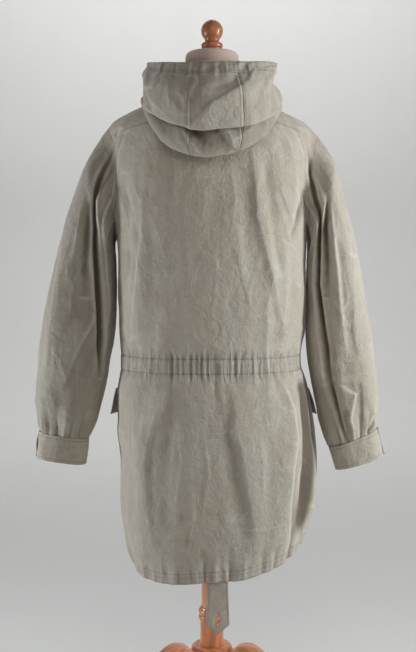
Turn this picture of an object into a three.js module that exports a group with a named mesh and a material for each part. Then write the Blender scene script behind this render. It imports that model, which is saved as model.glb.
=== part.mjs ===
// Anorak smock with its hood folded down the back, on a limbless dress form with a turned wooden stand.
// Millimetres, +Z up. The smock's front faces -Y and its wearer's left is +X.
// A bearing is an angle in degrees round the upright axis, 0 at the back centre and 90 at the wearer's left.
import * as THREE from 'three';

// Driving sizes
const CLOTH = 1.6;
const DOUBLE_CLOTH = 2.4;
const SEAM = 0.3;
const HEM = 380;
const WAIST = 776;
const ARMPIT = 1020;
const SHOULDER_TIP = 1229;
const NECK = 1300;
const NECK_DROP = 30;
const SLIT_FOOT = 1062;
const SLIT_HALF = 1.6;
const ARMHOLE_HALF_ANGLE = 22;
const WAIST_GATHERS = 48;
const HEM_GATHERS = 40;
const PLAIN_STEP = 10;
const SLEEVE_COLUMNS = 28;
const CUFF_PLEATS = 7;
const POLE_RADIUS = 20.5;
const HUB_RADIUS = 42;
const HUB_TOP = 204;
const FORM_FOOT = 640;
const NECK_CAP_FOOT = 1345;
const NECK_CAP_TOP = 1369;

// Turns rows of numbers into objects with the column names
function table(columns, rows) {
  return rows.map((row) => Object.fromEntries(columns.map((name, i) => [name, row[i]])));
}

// The torso's outer face, level by level: how far it reaches to each side, back and front, and the
// power of its oval (2 is an ellipse, more is squarer)
const SECTIONS = table(['level', 'left', 'right', 'back', 'front', 'power'], [
  [380, 164, 179, 151, 140, 2.5],
  [405, 170, 186, 154, 142, 2.5],
  [435, 174, 197, 156, 144, 2.5],
  [500, 180, 207, 158, 146, 2.5],
  [575, 180, 209, 156, 145, 2.5],
  [640, 185, 203, 152, 142, 2.5],
  [686, 184, 197, 147, 138, 2.4],
  [717, 183, 191, 141, 134, 2.4],
  [748, 179, 181, 133, 128, 2.3],
  [775, 175, 170, 128, 124, 2.3],
  [811, 177, 174, 131, 127, 2.3],
  [842, 178, 178, 135, 130, 2.4],
  [900, 179, 180, 141, 134, 2.4],
  [960, 180, 180, 146, 137, 2.4],
  [1014, 183, 182, 149, 137, 2.4],
  [1060, 188, 186, 150, 134, 2.4],
  [1120, 193, 191, 147, 126, 2.3],
  [1180, 199, 196, 140, 112, 2.2],
  [1215, 203, 199, 132, 98, 2.1],
  [1231, 204, 198, 127, 90, 2.0],
  [1248, 178, 172, 118, 80, 2.0],
  [1264, 139, 135, 107, 73, 2.0],
  [1283, 98, 94, 93, 70, 2.0],
  [1300, 72, 70, 76, 66, 2.0],
]);

// How far the hem hangs above or below its level, by bearing
const HEM_LINE = table(['bearing', 'rise'], [
  [-180, 46], [-110, 50], [-72, 48], [-52, 28], [-34, 12], [-15, 2],
  [0, 0], [30, -6], [48, -4], [66, 14], [90, 38], [180, 46],
]);

// Levels of the rows of points in the body, from hem to neck
const HEM_LEVELS = [HEM, 402];
const SKIRT_LEVELS = [432, 480, 530, 580, 630, 680, 715, 740];
const WAIST_LEVELS = [WAIST - 14, WAIST + 14];
const CHEST_LEVELS = [814, 838, 880, 925, 972];
const ARMHOLE_LEVELS = [ARMPIT, 1034, 1060, 1094, 1130, 1168, 1200, 1213, 1223, SHOULDER_TIP];
const YOKE_LEVELS = [1242, 1256, 1272, 1288, NECK];

// Where the back's edge leaves the armhole and runs to the neck, behind the shoulder
const YOKE_LINE = table(['level', 'bearing'], [
  [1200, 74], [1213, 60], [1223, 47], [SHOULDER_TIP, 45], [NECK, 46],
]);

// Large folds of the body: a ridge or trough along a line of bearings and levels
const BODY_FOLDS = [
  { height: 7, width: 15, path: [[-28, 1160], [-29, 1110], [-30, 1045], [-36, 992], [-45, 912], [-56, 830]] },
  { height: -7, width: 13, path: [[-37, 1150], [-38, 1080], [-43, 1000], [-52, 925]] },
  { height: 5, width: 18, path: [[44, 1150], [46, 1020], [49, 965], [55, 884], [61, 815]] },
  { height: -5, width: 14, path: [[58, 1110], [60, 1010], [64, 930]] },
  { height: -6, width: 13, path: [[-70, 1100], [-60, 1040], [-54, 1010]] },
  { height: 7, width: 14, path: [[36, 735], [37, 704], [42, 643], [44, 588], [42, 521], [40, 460]] },
  { height: -6, width: 14, path: [[50, 730], [54, 640], [56, 560]] },
  { height: 7, width: 11, path: [[-17, 690], [-15, 661], [-19, 634], [-22, 567], [-27, 485], [-28, 440]] },
  { height: -5, width: 14, path: [[-10, 640], [-13, 560], [-18, 480]] },
  { height: 9, width: 12, path: [[-52, 690], [-53, 640], [-48, 588], [-47, 506], [-49, 430]] },
  { height: -10, width: 14, path: [[-63, 680], [-61, 610], [-58, 530], [-60, 450]] },
  { height: -6, width: 16, path: [[80, 690], [84, 600], [82, 480]] },
  { height: 6, width: 16, path: [[150, 1140], [146, 1040], [138, 930], [128, 840]] },
  { height: 6, width: 16, path: [[-148, 1140], [-144, 1040], [-138, 930], [-130, 840]] },
  { height: -5, width: 14, path: [[128, 1090], [122, 1000], [114, 900]] },
  { height: -5, width: 14, path: [[-128, 1090], [-122, 1000], [-116, 900]] },
  { height: 7, width: 15, path: [[160, 730], [156, 650], [158, 560], [154, 470]] },
  { height: 7, width: 15, path: [[-162, 730], [-158, 640], [-162, 540], [-160, 460]] },
  { height: -7, width: 15, path: [[140, 650], [138, 560], [140, 470]] },
  { height: -7, width: 15, path: [[-140, 650], [-144, 560], [-142, 470]] },
];
const MM_PER_DEGREE = 3;

// Interpolates one column of a table without overshoot
function lookUp(rows, key, at, column) {
  const last = rows.length - 1;
  if (at <= rows[0][key]) return rows[0][column];
  if (at >= rows[last][key]) return rows[last][column];
  let i = 0;
  while (rows[i + 1][key] < at) i += 1;
  const slope = (j) => (rows[j + 1][column] - rows[j][column]) / (rows[j + 1][key] - rows[j][key]);
  const tangent = (j) => {
    if (j === 0) return slope(0);
    if (j === last) return slope(last - 1);
    const before = slope(j - 1);
    const after = slope(j);
    return before * after <= 0 ? 0 : (2 * before * after) / (before + after);
  };
  const span = rows[i + 1][key] - rows[i][key];
  const t = (at - rows[i][key]) / span;
  const rise = 3 * t * t - 2 * t * t * t;
  return rows[i][column] * (1 - rise) + rows[i + 1][column] * rise
    + span * (t * (1 - t) * (1 - t) * tangent(i) - t * t * (1 - t) * tangent(i + 1));
}

const smooth = (from, to, at) => THREE.MathUtils.smoothstep(at, from, to);
const radians = THREE.MathUtils.degToRad;
const wrap = (bearing) => THREE.MathUtils.euclideanModulo(bearing + 180, 360) - 180;

// Distance on the unrolled cloth from a point to a line of points
function distanceToPath(bearing, level, path) {
  let nearest = Infinity;
  for (let i = 0; i + 1 < path.length; i += 1) {
    const ax = wrap(bearing - path[i][0]) * MM_PER_DEGREE;
    const az = level - path[i][1];
    const bx = (path[i + 1][0] - path[i][0]) * MM_PER_DEGREE;
    const bz = path[i + 1][1] - path[i][1];
    const t = THREE.MathUtils.clamp((ax * bx + az * bz) / (bx * bx + bz * bz), 0, 1);
    nearest = Math.min(nearest, Math.hypot(ax - t * bx, az - t * bz));
  }
  return nearest;
}

// How far the cloth stands out from its section: folds, and the gathers of the two drawn casings
function bodyRelief(bearing, level) {
  let relief = 0;
  for (const fold of BODY_FOLDS) {
    const away = distanceToPath(bearing, level, fold.path) / fold.width;
    relief += fold.height * Math.exp(-away * away);
  }
  const turn = radians(bearing);
  const uneven = 0.7 + 0.3 * Math.sin(5 * turn + 1);
  const atWaist = smooth(724, 762, level) * (1 - smooth(790, 834, level));
  const atHem = 1 - smooth(404, 434, level);
  relief *= (1 - 0.7 * atWaist) * smooth(HEM, HEM + 80, level);
  relief += 2.8 * uneven * atWaist * Math.cos(WAIST_GATHERS * turn);
  relief += 2.2 * uneven * atHem * Math.cos(HEM_GATHERS * turn);
  return relief;
}

// A level's height, lowered at the front of the neck and moved to the hem's line at the bottom
function heightOf(bearing, level) {
  const frontness = smooth(80, 180, Math.abs(wrap(bearing)));
  const rise = lookUp(HEM_LINE, 'bearing', wrap(bearing), 'rise');
  return level - NECK_DROP * frontness * smooth(1180, NECK, level) + rise * (1 - smooth(HEM, 600, level));
}

// A point of the body's cloth, moved out by its relief and by a further distance
function bodyPoint(bearing, level, out = 0) {
  const sine = Math.sin(radians(bearing));
  const cosine = Math.cos(radians(bearing));
  const at = (column) => lookUp(SECTIONS, 'level', level, column);
  const across = Math.abs(sine) / at(sine > 0 ? 'left' : 'right');
  const along = Math.abs(cosine) / at(cosine > 0 ? 'back' : 'front');
  const power = at('power');
  const radius = (across ** power + along ** power) ** (-1 / power) + bodyRelief(bearing, level) + out;
  return new THREE.Vector3(radius * sine, radius * cosine, heightOf(bearing, level));
}

// The armhole's edge: an oval in bearing and level round the side
const armholeReach = (level) => {
  const middle = (ARMPIT + SHOULDER_TIP) / 2;
  const half = (SHOULDER_TIP - ARMPIT) / 2;
  return ARMHOLE_HALF_ANGLE * Math.sqrt(Math.max(0, 1 - ((level - middle) / half) ** 2));
};

// A patch of cloth: a net of points, made a closed wall by a second layer behind it
class Patch {
  // place(u, v) gives a point. surface(u, v), where it is given, is the smooth sheet that the patch is cut from,
  // with v between two limits: neighbours cut from one sheet then have walls that stay side by side.
  constructor(place, surface = null, limits = [0, 1]) {
    this.place = place;
    this.surface = surface;
    this.limits = limits;
    this.pairs = [];
    this.points = [];
    this.faces = [];
    this.known = new Map();
  }

  vertex([u, v]) {
    const key = `${u.toFixed(4)} ${v.toFixed(4)}`;
    if (!this.known.has(key)) {
      this.known.set(key, this.points.length);
      this.points.push(this.place(u, v));
      this.pairs.push([u, v]);
    }
    return this.known.get(key);
  }

  // Joins two rows of (u, v) pairs, whose counts may differ, with triangles
  strip(lower, upper) {
    const a = lower.map((pair) => this.vertex(pair));
    const b = upper.map((pair) => this.vertex(pair));
    const share = (row, i) => (row.length > 1 ? i / (row.length - 1) : 1);
    let i = 0;
    let j = 0;
    while (i < a.length - 1 || j < b.length - 1) {
      const nextLower = i < a.length - 1 ? share(a, i + 1) : Infinity;
      const nextUpper = j < b.length - 1 ? share(b, j + 1) : Infinity;
      if (nextLower <= nextUpper) {
        this.face(a[i], b[j], a[i + 1]);
        i += 1;
      } else {
        this.face(a[i], b[j], b[j + 1]);
        j += 1;
      }
    }
  }

  face(a, b, c) {
    if (a !== b && b !== c && c !== a) this.faces.push([a, b, c]);
  }

  rows(list) {
    for (let i = 0; i + 1 < list.length; i += 1) this.strip(list[i], list[i + 1]);
  }

  // The sheet's normal at a (u, v) pair, on the side that the faces look to
  sheetNormal([u, v], faceNormal) {
    const [low, high] = this.limits;
    const reach = (high - low) / 900;
    const along = this.surface(u + 0.5, v).sub(this.surface(u - 0.5, v));
    const up = this.surface(u, Math.min(v + reach, high)).sub(this.surface(u, Math.max(v - reach, low)));
    const normal = along.cross(up).normalize();
    return normal.dot(faceNormal) < 0 ? normal.negate() : normal;
  }

  // The closed wall, with its second layer on the side away from the faces' normals
  wall(thickness) {
    const normals = this.points.map(() => new THREE.Vector3());
    const triangle = new THREE.Triangle();
    const normal = new THREE.Vector3();
    for (const face of this.faces) {
      triangle.set(...face.map((i) => this.points[i]));
      triangle.getNormal(normal).multiplyScalar(triangle.getArea());
      for (const i of face) normals[i].add(normal);
    }
    if (this.surface) normals.forEach((own, i) => own.copy(this.sheetNormal(this.pairs[i], own)));
    const count = this.points.length;
    const behind = this.points.map((p, i) => p.clone().addScaledVector(normals[i].normalize(), -thickness));
    const faces = [...this.faces];
    const edges = new Map();
    for (const [a, b, c] of this.faces) {
      faces.push([a + count, c + count, b + count]);
      for (const [from, to] of [[a, b], [b, c], [c, a]]) edges.set(`${from} ${to}`, [from, to]);
    }
    for (const [from, to] of edges.values()) {
      if (!edges.has(`${to} ${from}`)) {
        faces.push([to, from, from + count], [to, from + count, to + count]);
      }
    }
    return solid([...this.points, ...behind], faces);
  }
}

function solid(points, faces) {
  const geometry = new THREE.BufferGeometry();
  geometry.setAttribute('position', new THREE.Float32BufferAttribute(points.flatMap((p) => p.toArray()), 3));
  geometry.setIndex(faces.flat());
  geometry.computeVertexNormals();
  return geometry;
}

// A solid through closed rings of points, with a flat lid at each end
function loft(rings) {
  const points = rings.flat();
  const count = rings[0].length;
  const faces = [];
  for (let r = 0; r + 1 < rings.length; r += 1) {
    for (let i = 0; i < count; i += 1) {
      const a = r * count + i;
      const b = r * count + ((i + 1) % count);
      faces.push([a, a + count, b], [b, a + count, b + count]);
    }
  }
  for (const [ring, first] of [[rings[0], 0], [rings.at(-1), (rings.length - 1) * count]]) {
    const centre = ring.reduce((sum, p) => sum.add(p), new THREE.Vector3()).divideScalar(count);
    const middle = points.push(centre) - 1;
    for (let i = 0; i < count; i += 1) {
      const a = first + i;
      const b = first + ((i + 1) % count);
      faces.push(first === 0 ? [middle, a, b] : [middle, b, a]);
    }
  }
  return solid(points, faces);
}

const smock = new THREE.Group();

function add(name, geometry, finish) {
  const mesh = new THREE.Mesh(geometry, new THREE.MeshStandardMaterial(finish));
  mesh.name = name;
  smock.add(mesh);
  return mesh;
}

const COTTON = { color: 0x918a80, roughness: 0.9, metalness: 0, side: THREE.DoubleSide };
const COVER = { color: 0xc8a591, roughness: 0.85, metalness: 0 };
const WOOD = { color: 0xaf643c, roughness: 0.35, metalness: 0 };

// Evenly spaced numbers from one value to another
function spread(from, to, count) {
  return Array.from({ length: count + 1 }, (_, i) => from + ((to - from) * i) / count);
}

// The bearings of a row between two edges: plain rows are coarse, gathered rows have two columns a wave
function bearings(from, to, level) {
  const atHem = HEM_LEVELS.includes(level);
  const atWaist = WAIST_LEVELS.includes(level);
  let step = PLAIN_STEP;
  if (atHem) step = 180 / HEM_GATHERS;
  if (atWaist) step = 180 / WAIST_GATHERS;
  return spread(from, to, Math.max(1, Math.round((to - from) / step)));
}

const rowAt = (from, to, level) => bearings(from, to, level).map((bearing) => [bearing, level]);
const seamAngle = THREE.MathUtils.radToDeg(SEAM / 2 / 180);
const allLevels = [...HEM_LEVELS, ...SKIRT_LEVELS, ...WAIST_LEVELS, ...CHEST_LEVELS, ...ARMHOLE_LEVELS, ...YOKE_LEVELS];

// Half the back's width at a level, in bearing
function backEdge(level) {
  if (level < ARMPIT) return 90 - seamAngle;
  if (level < YOKE_LINE[0].level) return 90 - seamAngle - armholeReach(level);
  return lookUp(YOKE_LINE, 'level', level, 'bearing');
}

function makeBack() {
  const patch = new Patch(bodyPoint, bodyPoint, [HEM, NECK]);
  patch.rows(allLevels.map((level) => rowAt(-backEdge(level), backEdge(level), level)));
  return patch.wall(CLOTH);
}

// The front runs from side seam to side seam, and above the armholes back over the shoulders to the yoke line
function makeFront() {
  const yokeGap = { bearing: 0.45, level: 0.5 };
  const shifted = (u, v) => bodyPoint(u, v + (isYokeEdge(u, v) ? yokeGap.level : 0));
  const patch = new Patch(shifted, bodyPoint, [HEM, NECK]);
  const yokeEdge = (level) => lookUp(YOKE_LINE, 'level', level, 'bearing') + yokeGap.bearing;
  function isYokeEdge(bearing, level) {
    return level >= YOKE_LINE[0].level && level < NECK
      && Math.abs(Math.abs(wrap(bearing)) - yokeEdge(level)) < 0.01;
  }
  const slit = THREE.MathUtils.radToDeg(SLIT_HALF / 70);
  const centre = (level) => (level > SLIT_FOOT ? 180 - slit : 180);
  const mirrored = (row) => row.map(([bearing, level]) => [360 - bearing, level]).reverse();
  const sideEdge = (level) => 90 + seamAngle + armholeReach(level);
  const halves = (row, after) => [[row, after], [mirrored(row), mirrored(after)]];

  const half = (level) => rowAt(sideEdge(level), centre(level), level);
  const lowerLevels = allLevels.filter((level) => level <= SHOULDER_TIP);
  for (let i = 0; i + 1 < lowerLevels.length; i += 1) {
    const lower = half(lowerLevels[i]);
    const upper = half(lowerLevels[i + 1]);
    if (lowerLevels[i] <= SLIT_FOOT && lowerLevels[i + 1] > SLIT_FOOT) lower[lower.length - 1][0] = 180;
    for (const [a, b] of halves(lower, upper)) patch.strip(a, b);
  }

  const behindLevels = ARMHOLE_LEVELS.filter((level) => level >= YOKE_LINE[0].level);
  const behind = (level) => {
    const to = 90 - seamAngle - armholeReach(level);
    return level === behindLevels[0] ? [[to, level]] : rowAt(yokeEdge(level), to, level);
  };
  for (let i = 0; i + 1 < behindLevels.length; i += 1) {
    for (const [a, b] of halves(behind(behindLevels[i]), behind(behindLevels[i + 1]))) patch.strip(a, b);
  }

  const tip = [...behind(SHOULDER_TIP), ...half(SHOULDER_TIP)];
  const over = [tip, ...YOKE_LEVELS.map((level) => rowAt(yokeEdge(level), centre(level), level))];
  for (let i = 0; i + 1 < over.length; i += 1) {
    for (const [a, b] of halves(over[i], over[i + 1])) patch.strip(a, b);
  }
  return patch.wall(CLOTH);
}


// Sleeves: where each ring's outer and inner ends are, half its depth, and how far its middle is behind the axis
const SLEEVE_COLUMNS_OF_TABLE = ['outX', 'outZ', 'inX', 'inZ', 'depth', 'behind'];
const LEFT_SLEEVE = table(SLEEVE_COLUMNS_OF_TABLE, [
  [212, 1219, 191, 1017, 76, 4],
  [230, 1182, 190, 1010, 78, 3],
  [248, 1138, 190, 1002, 78, 2],
  [266, 1091, 190, 992, 76, 0],
  [286, 1029, 189, 972, 73, -2],
  [304, 967, 188, 942, 70, -4],
  [318, 904, 187, 898, 67, -5],
  [331, 842, 189, 842, 64, -6],
  [341, 779, 200, 777, 60, -7],
  [346, 720, 213, 714, 54, -8],
  [344, 676, 226, 666, 47, -8],
  [339, 635, 243, 622, 34, -8],
]);
const RIGHT_SLEEVE = table(SLEEVE_COLUMNS_OF_TABLE, [
  [208, 1216, 190, 1017, 76, 4],
  [226, 1178, 188, 1010, 78, 3],
  [241, 1134, 188, 1002, 78, 2],
  [254, 1091, 188, 992, 76, 0],
  [270, 1029, 187, 972, 73, -2],
  [285, 967, 186, 942, 70, -4],
  [297, 904, 185, 896, 67, -5],
  [308, 842, 185, 836, 64, -6],
  [316, 782, 190, 766, 60, -7],
  [325, 724, 205, 698, 54, -8],
  [328, 680, 217, 648, 47, -8],
  [324, 640, 232, 604, 34, -8],
]);
// Cuffs: top and bottom rings of the band
const LEFT_CUFF = table(SLEEVE_COLUMNS_OF_TABLE, [
  [340, 634.4, 243, 621.4, 34, -8],
  [346, 583, 250, 569, 34, -8],
]);
const RIGHT_CUFF = table(SLEEVE_COLUMNS_OF_TABLE, [
  [325, 639.4, 232, 603.4, 34, -8],
  [339, 587, 246, 558, 34, -8],
]);

// Long folds of a sleeve: the angle round it (0 outer, 90 back, 180 inner) and the rings it runs between
const SLEEVE_FOLDS = table(['angle', 'lean', 'from', 'to', 'width', 'height'], [
  [118, -6, 2, 10.4, 15, -8],
  [142, -4, 2, 9.5, 15, 5],
  [66, 8, 4, 10, 16, 5],
  [84, 10, 6, 11, 13, -5],
  [-116, 6, 2, 10.4, 15, -8],
  [-70, -8, 4, 10, 16, 5],
  [-88, -8, 6, 11, 13, -5],
  [20, 6, 5, 10, 14, -4],
]);
const CUFF_PLEAT_DEPTH = 3.4;
const SECTION_POWER = 2.2;

function sleeveRelief(angle, ring) {
  let relief = 0;
  for (const fold of SLEEVE_FOLDS) {
    const along = (ring - fold.from) / (fold.to - fold.from);
    const away = wrap(angle - fold.angle - fold.lean * along) / fold.width;
    const fade = smooth(-0.15, 0.15, along) * (1 - smooth(0.85, 1.1, along));
    relief += fold.height * fade * Math.exp(-away * away);
  }
  const nearCuff = smooth(8, 10.5, ring) * (1 - 0.75 * smooth(10.6, 11, ring));
  return relief + CUFF_PLEAT_DEPTH * nearCuff * Math.cos(radians(CUFF_PLEATS * angle + 20));
}

// A point of a sleeve or cuff ring between table rows, moved out across the ring
function tubePoint(rows, side, angle, ring, out) {
  const low = Math.min(Math.floor(ring), rows.length - 2);
  const t = ring - low;
  const at = (column) => rows[low][column] * (1 - t) + rows[low + 1][column] * t;
  const outer = new THREE.Vector3(side * at('outX'), 0, at('outZ'));
  const inner = new THREE.Vector3(side * at('inX'), 0, at('inZ'));
  const middle = outer.clone().add(inner).multiplyScalar(0.5);
  const half = outer.clone().sub(inner).multiplyScalar(0.5);
  const cosine = Math.cos(radians(angle));
  const sine = Math.sin(radians(angle));
  const radius = (Math.abs(cosine) ** SECTION_POWER + Math.abs(sine) ** SECTION_POWER) ** (-1 / SECTION_POWER);
  const mean = (half.length() + at('depth')) / 2;
  middle.addScaledVector(half, cosine * radius * (1 + out / mean));
  middle.y = at('behind') + sine * radius * (at('depth') + out);
  return middle;
}

// The armhole's edge as (bearing, level) pairs, from the tip down the back to the armpit and up the front
function armholeEdge(side, inset) {
  const upward = ARMHOLE_LEVELS.slice(1, -1);
  const shrink = inset / MM_PER_DEGREE;
  const pair = (way, level) => {
    const lift = level > (ARMPIT + SHOULDER_TIP) / 2 ? -inset * 0.6 : inset * 0.6;
    return [side * (90 - way * (armholeReach(level) - shrink)), level + lift];
  };
  return [
    [side * 90, SHOULDER_TIP - inset],
    ...[...upward].reverse().map((level) => pair(1, level)),
    [side * 90, ARMPIT + inset],
    ...upward.map((level) => pair(-1, level)),
  ];
}

function makeSleeve(rows, side) {
  const edge = armholeEdge(side, 2.6);
  const lastRing = rows.length;
  const patch = new Patch((angle, ring) => {
    if (ring === 0) return bodyPoint(...edge[angle], 0.8);
    return tubePoint(rows, side, angle, ring - 1, sleeveRelief(angle, ring - 1));
  });
  const closed = (list) => [...list, list[0]];
  const armhole = closed(edge.map((pair, i) => [i, 0]));
  const around = spread(0, 360, SLEEVE_COLUMNS).slice(0, -1);
  const ringRow = (ring) => closed(around.map((angle) => [angle, ring]));
  const list = [armhole, ...spread(1, lastRing, lastRing - 1).map(ringRow)];
  patch.rows(side > 0 ? list.map((row) => [...row].reverse()) : list);
  return patch.wall(CLOTH);
}

// A cuff: one strip round the wrist whose end laps over its start at the outer side
function makeCuff(rows, side) {
  const lap = { from: -14, to: 372, rampFrom: 326, rampTo: 338, lift: DOUBLE_CLOTH + 0.5 };
  const patch = new Patch((angle, ring) => (
    tubePoint(rows, side, angle, ring, 0.6 + lap.lift * smooth(lap.rampFrom, lap.rampTo, angle))
  ));
  const row = (ring) => spread(lap.from, lap.to, SLEEVE_COLUMNS + 4).map((angle) => [angle, ring]);
  const list = [0, 0.5, 1].map(row);
  patch.rows(side > 0 ? list.map((each) => [...each].reverse()) : list);
  return patch.wall(DOUBLE_CLOTH);
}

// Hood, folded down: at each bearing its cloth stands up from the neck, rolls over, falls to a fold at the
// bottom, rises as a bag and ends at the face opening's band. The lap is the bag's pleat over its lower sack.
const HOOD_SECTIONS = table(
  ['bearing', 'stand', 'foldR', 'foldZ', 'sackR', 'sackZ', 'lapR', 'lapZ', 'pleat', 'bagR', 'bagZ', 'rimR', 'rimZ'],
  [
    [-179, 1294, 84, 1280, 90, 1285, 92, 1294, 0, 91, 1303, 86, 1316],
    [-130, 1312, 98, 1277, 105, 1283, 107, 1293, 0, 105, 1304, 98, 1321],
    [-90, 1316, 112, 1287, 121, 1291, 124, 1300, 0, 122, 1311, 112, 1328],
    [-62, 1315, 140, 1270, 149, 1276, 152, 1286, 0, 150, 1300, 138, 1324],
    [-46, 1314, 162, 1234, 174, 1242, 180, 1258, 0.1, 178, 1278, 158, 1321],
    [-31, 1314, 172, 1194, 187, 1206, 198, 1226, 0.6, 198, 1252, 162, 1320],
    [-14, 1314, 170, 1162, 193, 1177, 207, 1198, 1, 209, 1230, 161, 1319],
    [4, 1314, 168, 1154, 194, 1170, 208, 1192, 1, 211, 1226, 160, 1318],
    [22, 1314, 172, 1164, 192, 1182, 205, 1200, 0.9, 206, 1232, 161, 1317],
    [34, 1314, 172, 1192, 186, 1206, 193, 1224, 0.5, 192, 1250, 160, 1317],
    [47, 1314, 160, 1239, 170, 1248, 172, 1262, 0.1, 170, 1280, 157, 1317],
    [62, 1315, 140, 1270, 149, 1276, 152, 1286, 0, 150, 1300, 138, 1322],
    [90, 1316, 112, 1287, 121, 1291, 124, 1300, 0, 122, 1311, 112, 1328],
    [130, 1312, 98, 1277, 105, 1283, 107, 1293, 0, 105, 1304, 98, 1321],
    [179, 1294, 84, 1280, 90, 1285, 92, 1294, 0, 91, 1303, 86, 1316],
  ],
);
const HOOD_STEPS = 19;
const BAND_START = 10 / 11;

// The hood's section at a bearing, as points (distance from the axis, height)
function hoodSection(bearing) {
  const at = (column) => lookUp(HOOD_SECTIONS, 'bearing', bearing, column);
  const neck = bodyPoint(bearing, NECK);
  const neckR = Math.hypot(neck.x, neck.y) - CLOTH / 2;
  const neckZ = neck.z + SEAM + 0.1;
  const pleat = at('pleat');
  const drop = [(neckR + at('foldR')) / 2 + 8, (at('stand') + at('foldZ')) / 2 + 6];
  const band = [at('rimR') + 0.26 * (at('bagR') - at('rimR')), at('rimZ') - 0.24 * (at('rimZ') - at('bagZ'))];
  return [
    [neckR, neckZ],
    [neckR + 6, at('stand')],
    drop,
    [drop[0] * 0.45 + at('foldR') * 0.55 - 2, drop[1] * 0.45 + at('foldZ') * 0.55],
    [at('foldR'), at('foldZ')],
    [at('sackR'), at('sackZ')],
    [at('lapR') - 2 - 12 * pleat, at('lapZ') - 6 + 20 * pleat],
    [at('lapR'), at('lapZ')],
    [at('bagR'), at('bagZ')],
    [(at('bagR') + band[0]) / 2 + 5, (at('bagZ') + band[1]) / 2 + 2],
    band,
    [at('rimR'), at('rimZ')],
  ];
}

// A point along the hood's section, 0 at the neck and 1 at the rim, by a Catmull-Rom spline
function hoodPoint(bearing, share, aside = 0) {
  const points = hoodSection(bearing);
  const place = share * (points.length - 1);
  const i = THREE.MathUtils.clamp(Math.floor(place), 0, points.length - 2);
  const t = place - i;
  const pick = (j, k) => points[THREE.MathUtils.clamp(j, 0, points.length - 1)][k];
  const spline = (k) => 0.5 * (2 * pick(i, k) + (pick(i + 1, k) - pick(i - 1, k)) * t
    + (2 * pick(i - 1, k) - 5 * pick(i, k) + 4 * pick(i + 1, k) - pick(i + 2, k)) * t * t
    + (3 * pick(i, k) - pick(i - 1, k) - 3 * pick(i + 1, k) + pick(i + 2, k)) * t * t * t);
  const radius = spline(0);
  const turn = radians(bearing) + aside / radius;
  return new THREE.Vector3(radius * Math.sin(turn), radius * Math.cos(turn), spline(1));
}

function makeHoodPiece(columns, shareFrom, shareTo, steps, thickness) {
  const sideways = (bearing) => (bearing === columns[0] ? 1 : 0) - (bearing === columns.at(-1) ? 1 : 0);
  const aside = (bearing) => (SEAM / 2) * sideways(bearing);
  const patch = new Patch((bearing, share) => hoodPoint(bearing, share, aside(bearing)), hoodPoint);
  const row = (share) => columns.map((bearing) => [bearing, share]);
  patch.rows(spread(shareFrom, shareTo, steps).map(row));
  return patch.wall(thickness);
}

// The tail strap: a tapered strip with a pointed foot and an upright buttonhole, sewn inside the back hem
const STRAP = { x: -10, top: 396, topWidth: 36, footZ: 300, footWidth: 44, tip: 281, thickness: 2.6 };
const BUTTONHOLE = { width: 5, from: 296, to: 320 };

function makeStrap() {
  const shape = new THREE.Shape();
  shape.moveTo(-STRAP.topWidth / 2, STRAP.top);
  shape.lineTo(-STRAP.footWidth / 2, STRAP.footZ);
  shape.lineTo(0, STRAP.tip);
  shape.lineTo(STRAP.footWidth / 2, STRAP.footZ);
  shape.lineTo(STRAP.topWidth / 2, STRAP.top);
  shape.closePath();
  const hole = new THREE.Path();
  hole.moveTo(-BUTTONHOLE.width / 2, BUTTONHOLE.from);
  hole.lineTo(BUTTONHOLE.width / 2, BUTTONHOLE.from);
  hole.lineTo(BUTTONHOLE.width / 2, BUTTONHOLE.to);
  hole.lineTo(-BUTTONHOLE.width / 2, BUTTONHOLE.to);
  hole.closePath();
  shape.holes.push(hole);
  const geometry = new THREE.ExtrudeGeometry(shape, { depth: STRAP.thickness, bevelEnabled: false });
  geometry.rotateX(Math.PI / 2);
  return geometry;
}

// The innermost reach of the back hem over the strap's width, where the strap's face lies against it
function strapFace() {
  const bearing = (x) => THREE.MathUtils.radToDeg(Math.atan2(STRAP.x + x, SECTIONS[0].back));
  const across = spread(-STRAP.topWidth / 2, STRAP.topWidth / 2, 8);
  const levels = spread(HEM, STRAP.top, 4);
  const reach = levels.flatMap((level) => across.map((x) => bodyPoint(bearing(x), level).y));
  return Math.min(...reach) - CLOTH - 2 * SEAM;
}

// Hip pocket flaps, laid on the front panel's points and moved out, with the rear edge standing off
const FLAP = { rear: 98, front: 142, top: 716, foot: 664, clear: 2.4, flare: 5.5, thickness: 2 };
const FLAP_REAR_LIFT = { left: 9, right: 1 };

function makeFlap(side, rearLift) {
  const patch = new Patch((bearing, level) => {
    const down = (FLAP.top - level) / (FLAP.top - FLAP.foot);
    const toRear = 1 - smooth(FLAP.rear, FLAP.rear + 14, bearing);
    const out = FLAP.clear + FLAP.flare * down + rearLift * toRear * (0.4 + 0.6 * down);
    return bodyPoint(side * bearing, level, out);
  });
  const row = (level) => spread(FLAP.rear, FLAP.front, 10).map((bearing) => [bearing, level]);
  const list = spread(FLAP.foot, FLAP.top, 4).map(row);
  patch.rows(side > 0 ? list : list.map((each) => [...each].reverse()));
  return patch.wall(FLAP.thickness);
}

// The dress form: its own sections, and never nearer to the cloth than its clearance
const FORM_CLEAR = 1.2;
const FORM_COLUMNS = 28;
const FORM_SECTIONS = table(['level', 'side', 'back', 'front'], [
  [FORM_FOOT, 146, 100, 98],
  [650, 154, 107, 104],
  [700, 160, 110, 104],
  [780, 140, 98, 94],
  [860, 130, 92, 96],
  [960, 150, 106, 112],
  [1060, 165, 120, 116],
  [1150, 172, 124, 104],
  [1205, 172, 122, 90],
  [1240, 172, 118, 84],
  [NECK, 110, 90, 80],
]);
const FORM_NECK = table(['level', 'side', 'back', 'front'], [
  [1296, 56, 60, 46], [1312, 52, 54, 48], [1328, 51, 51, 50], [NECK_CAP_FOOT, 50, 50, 50],
]);

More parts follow.
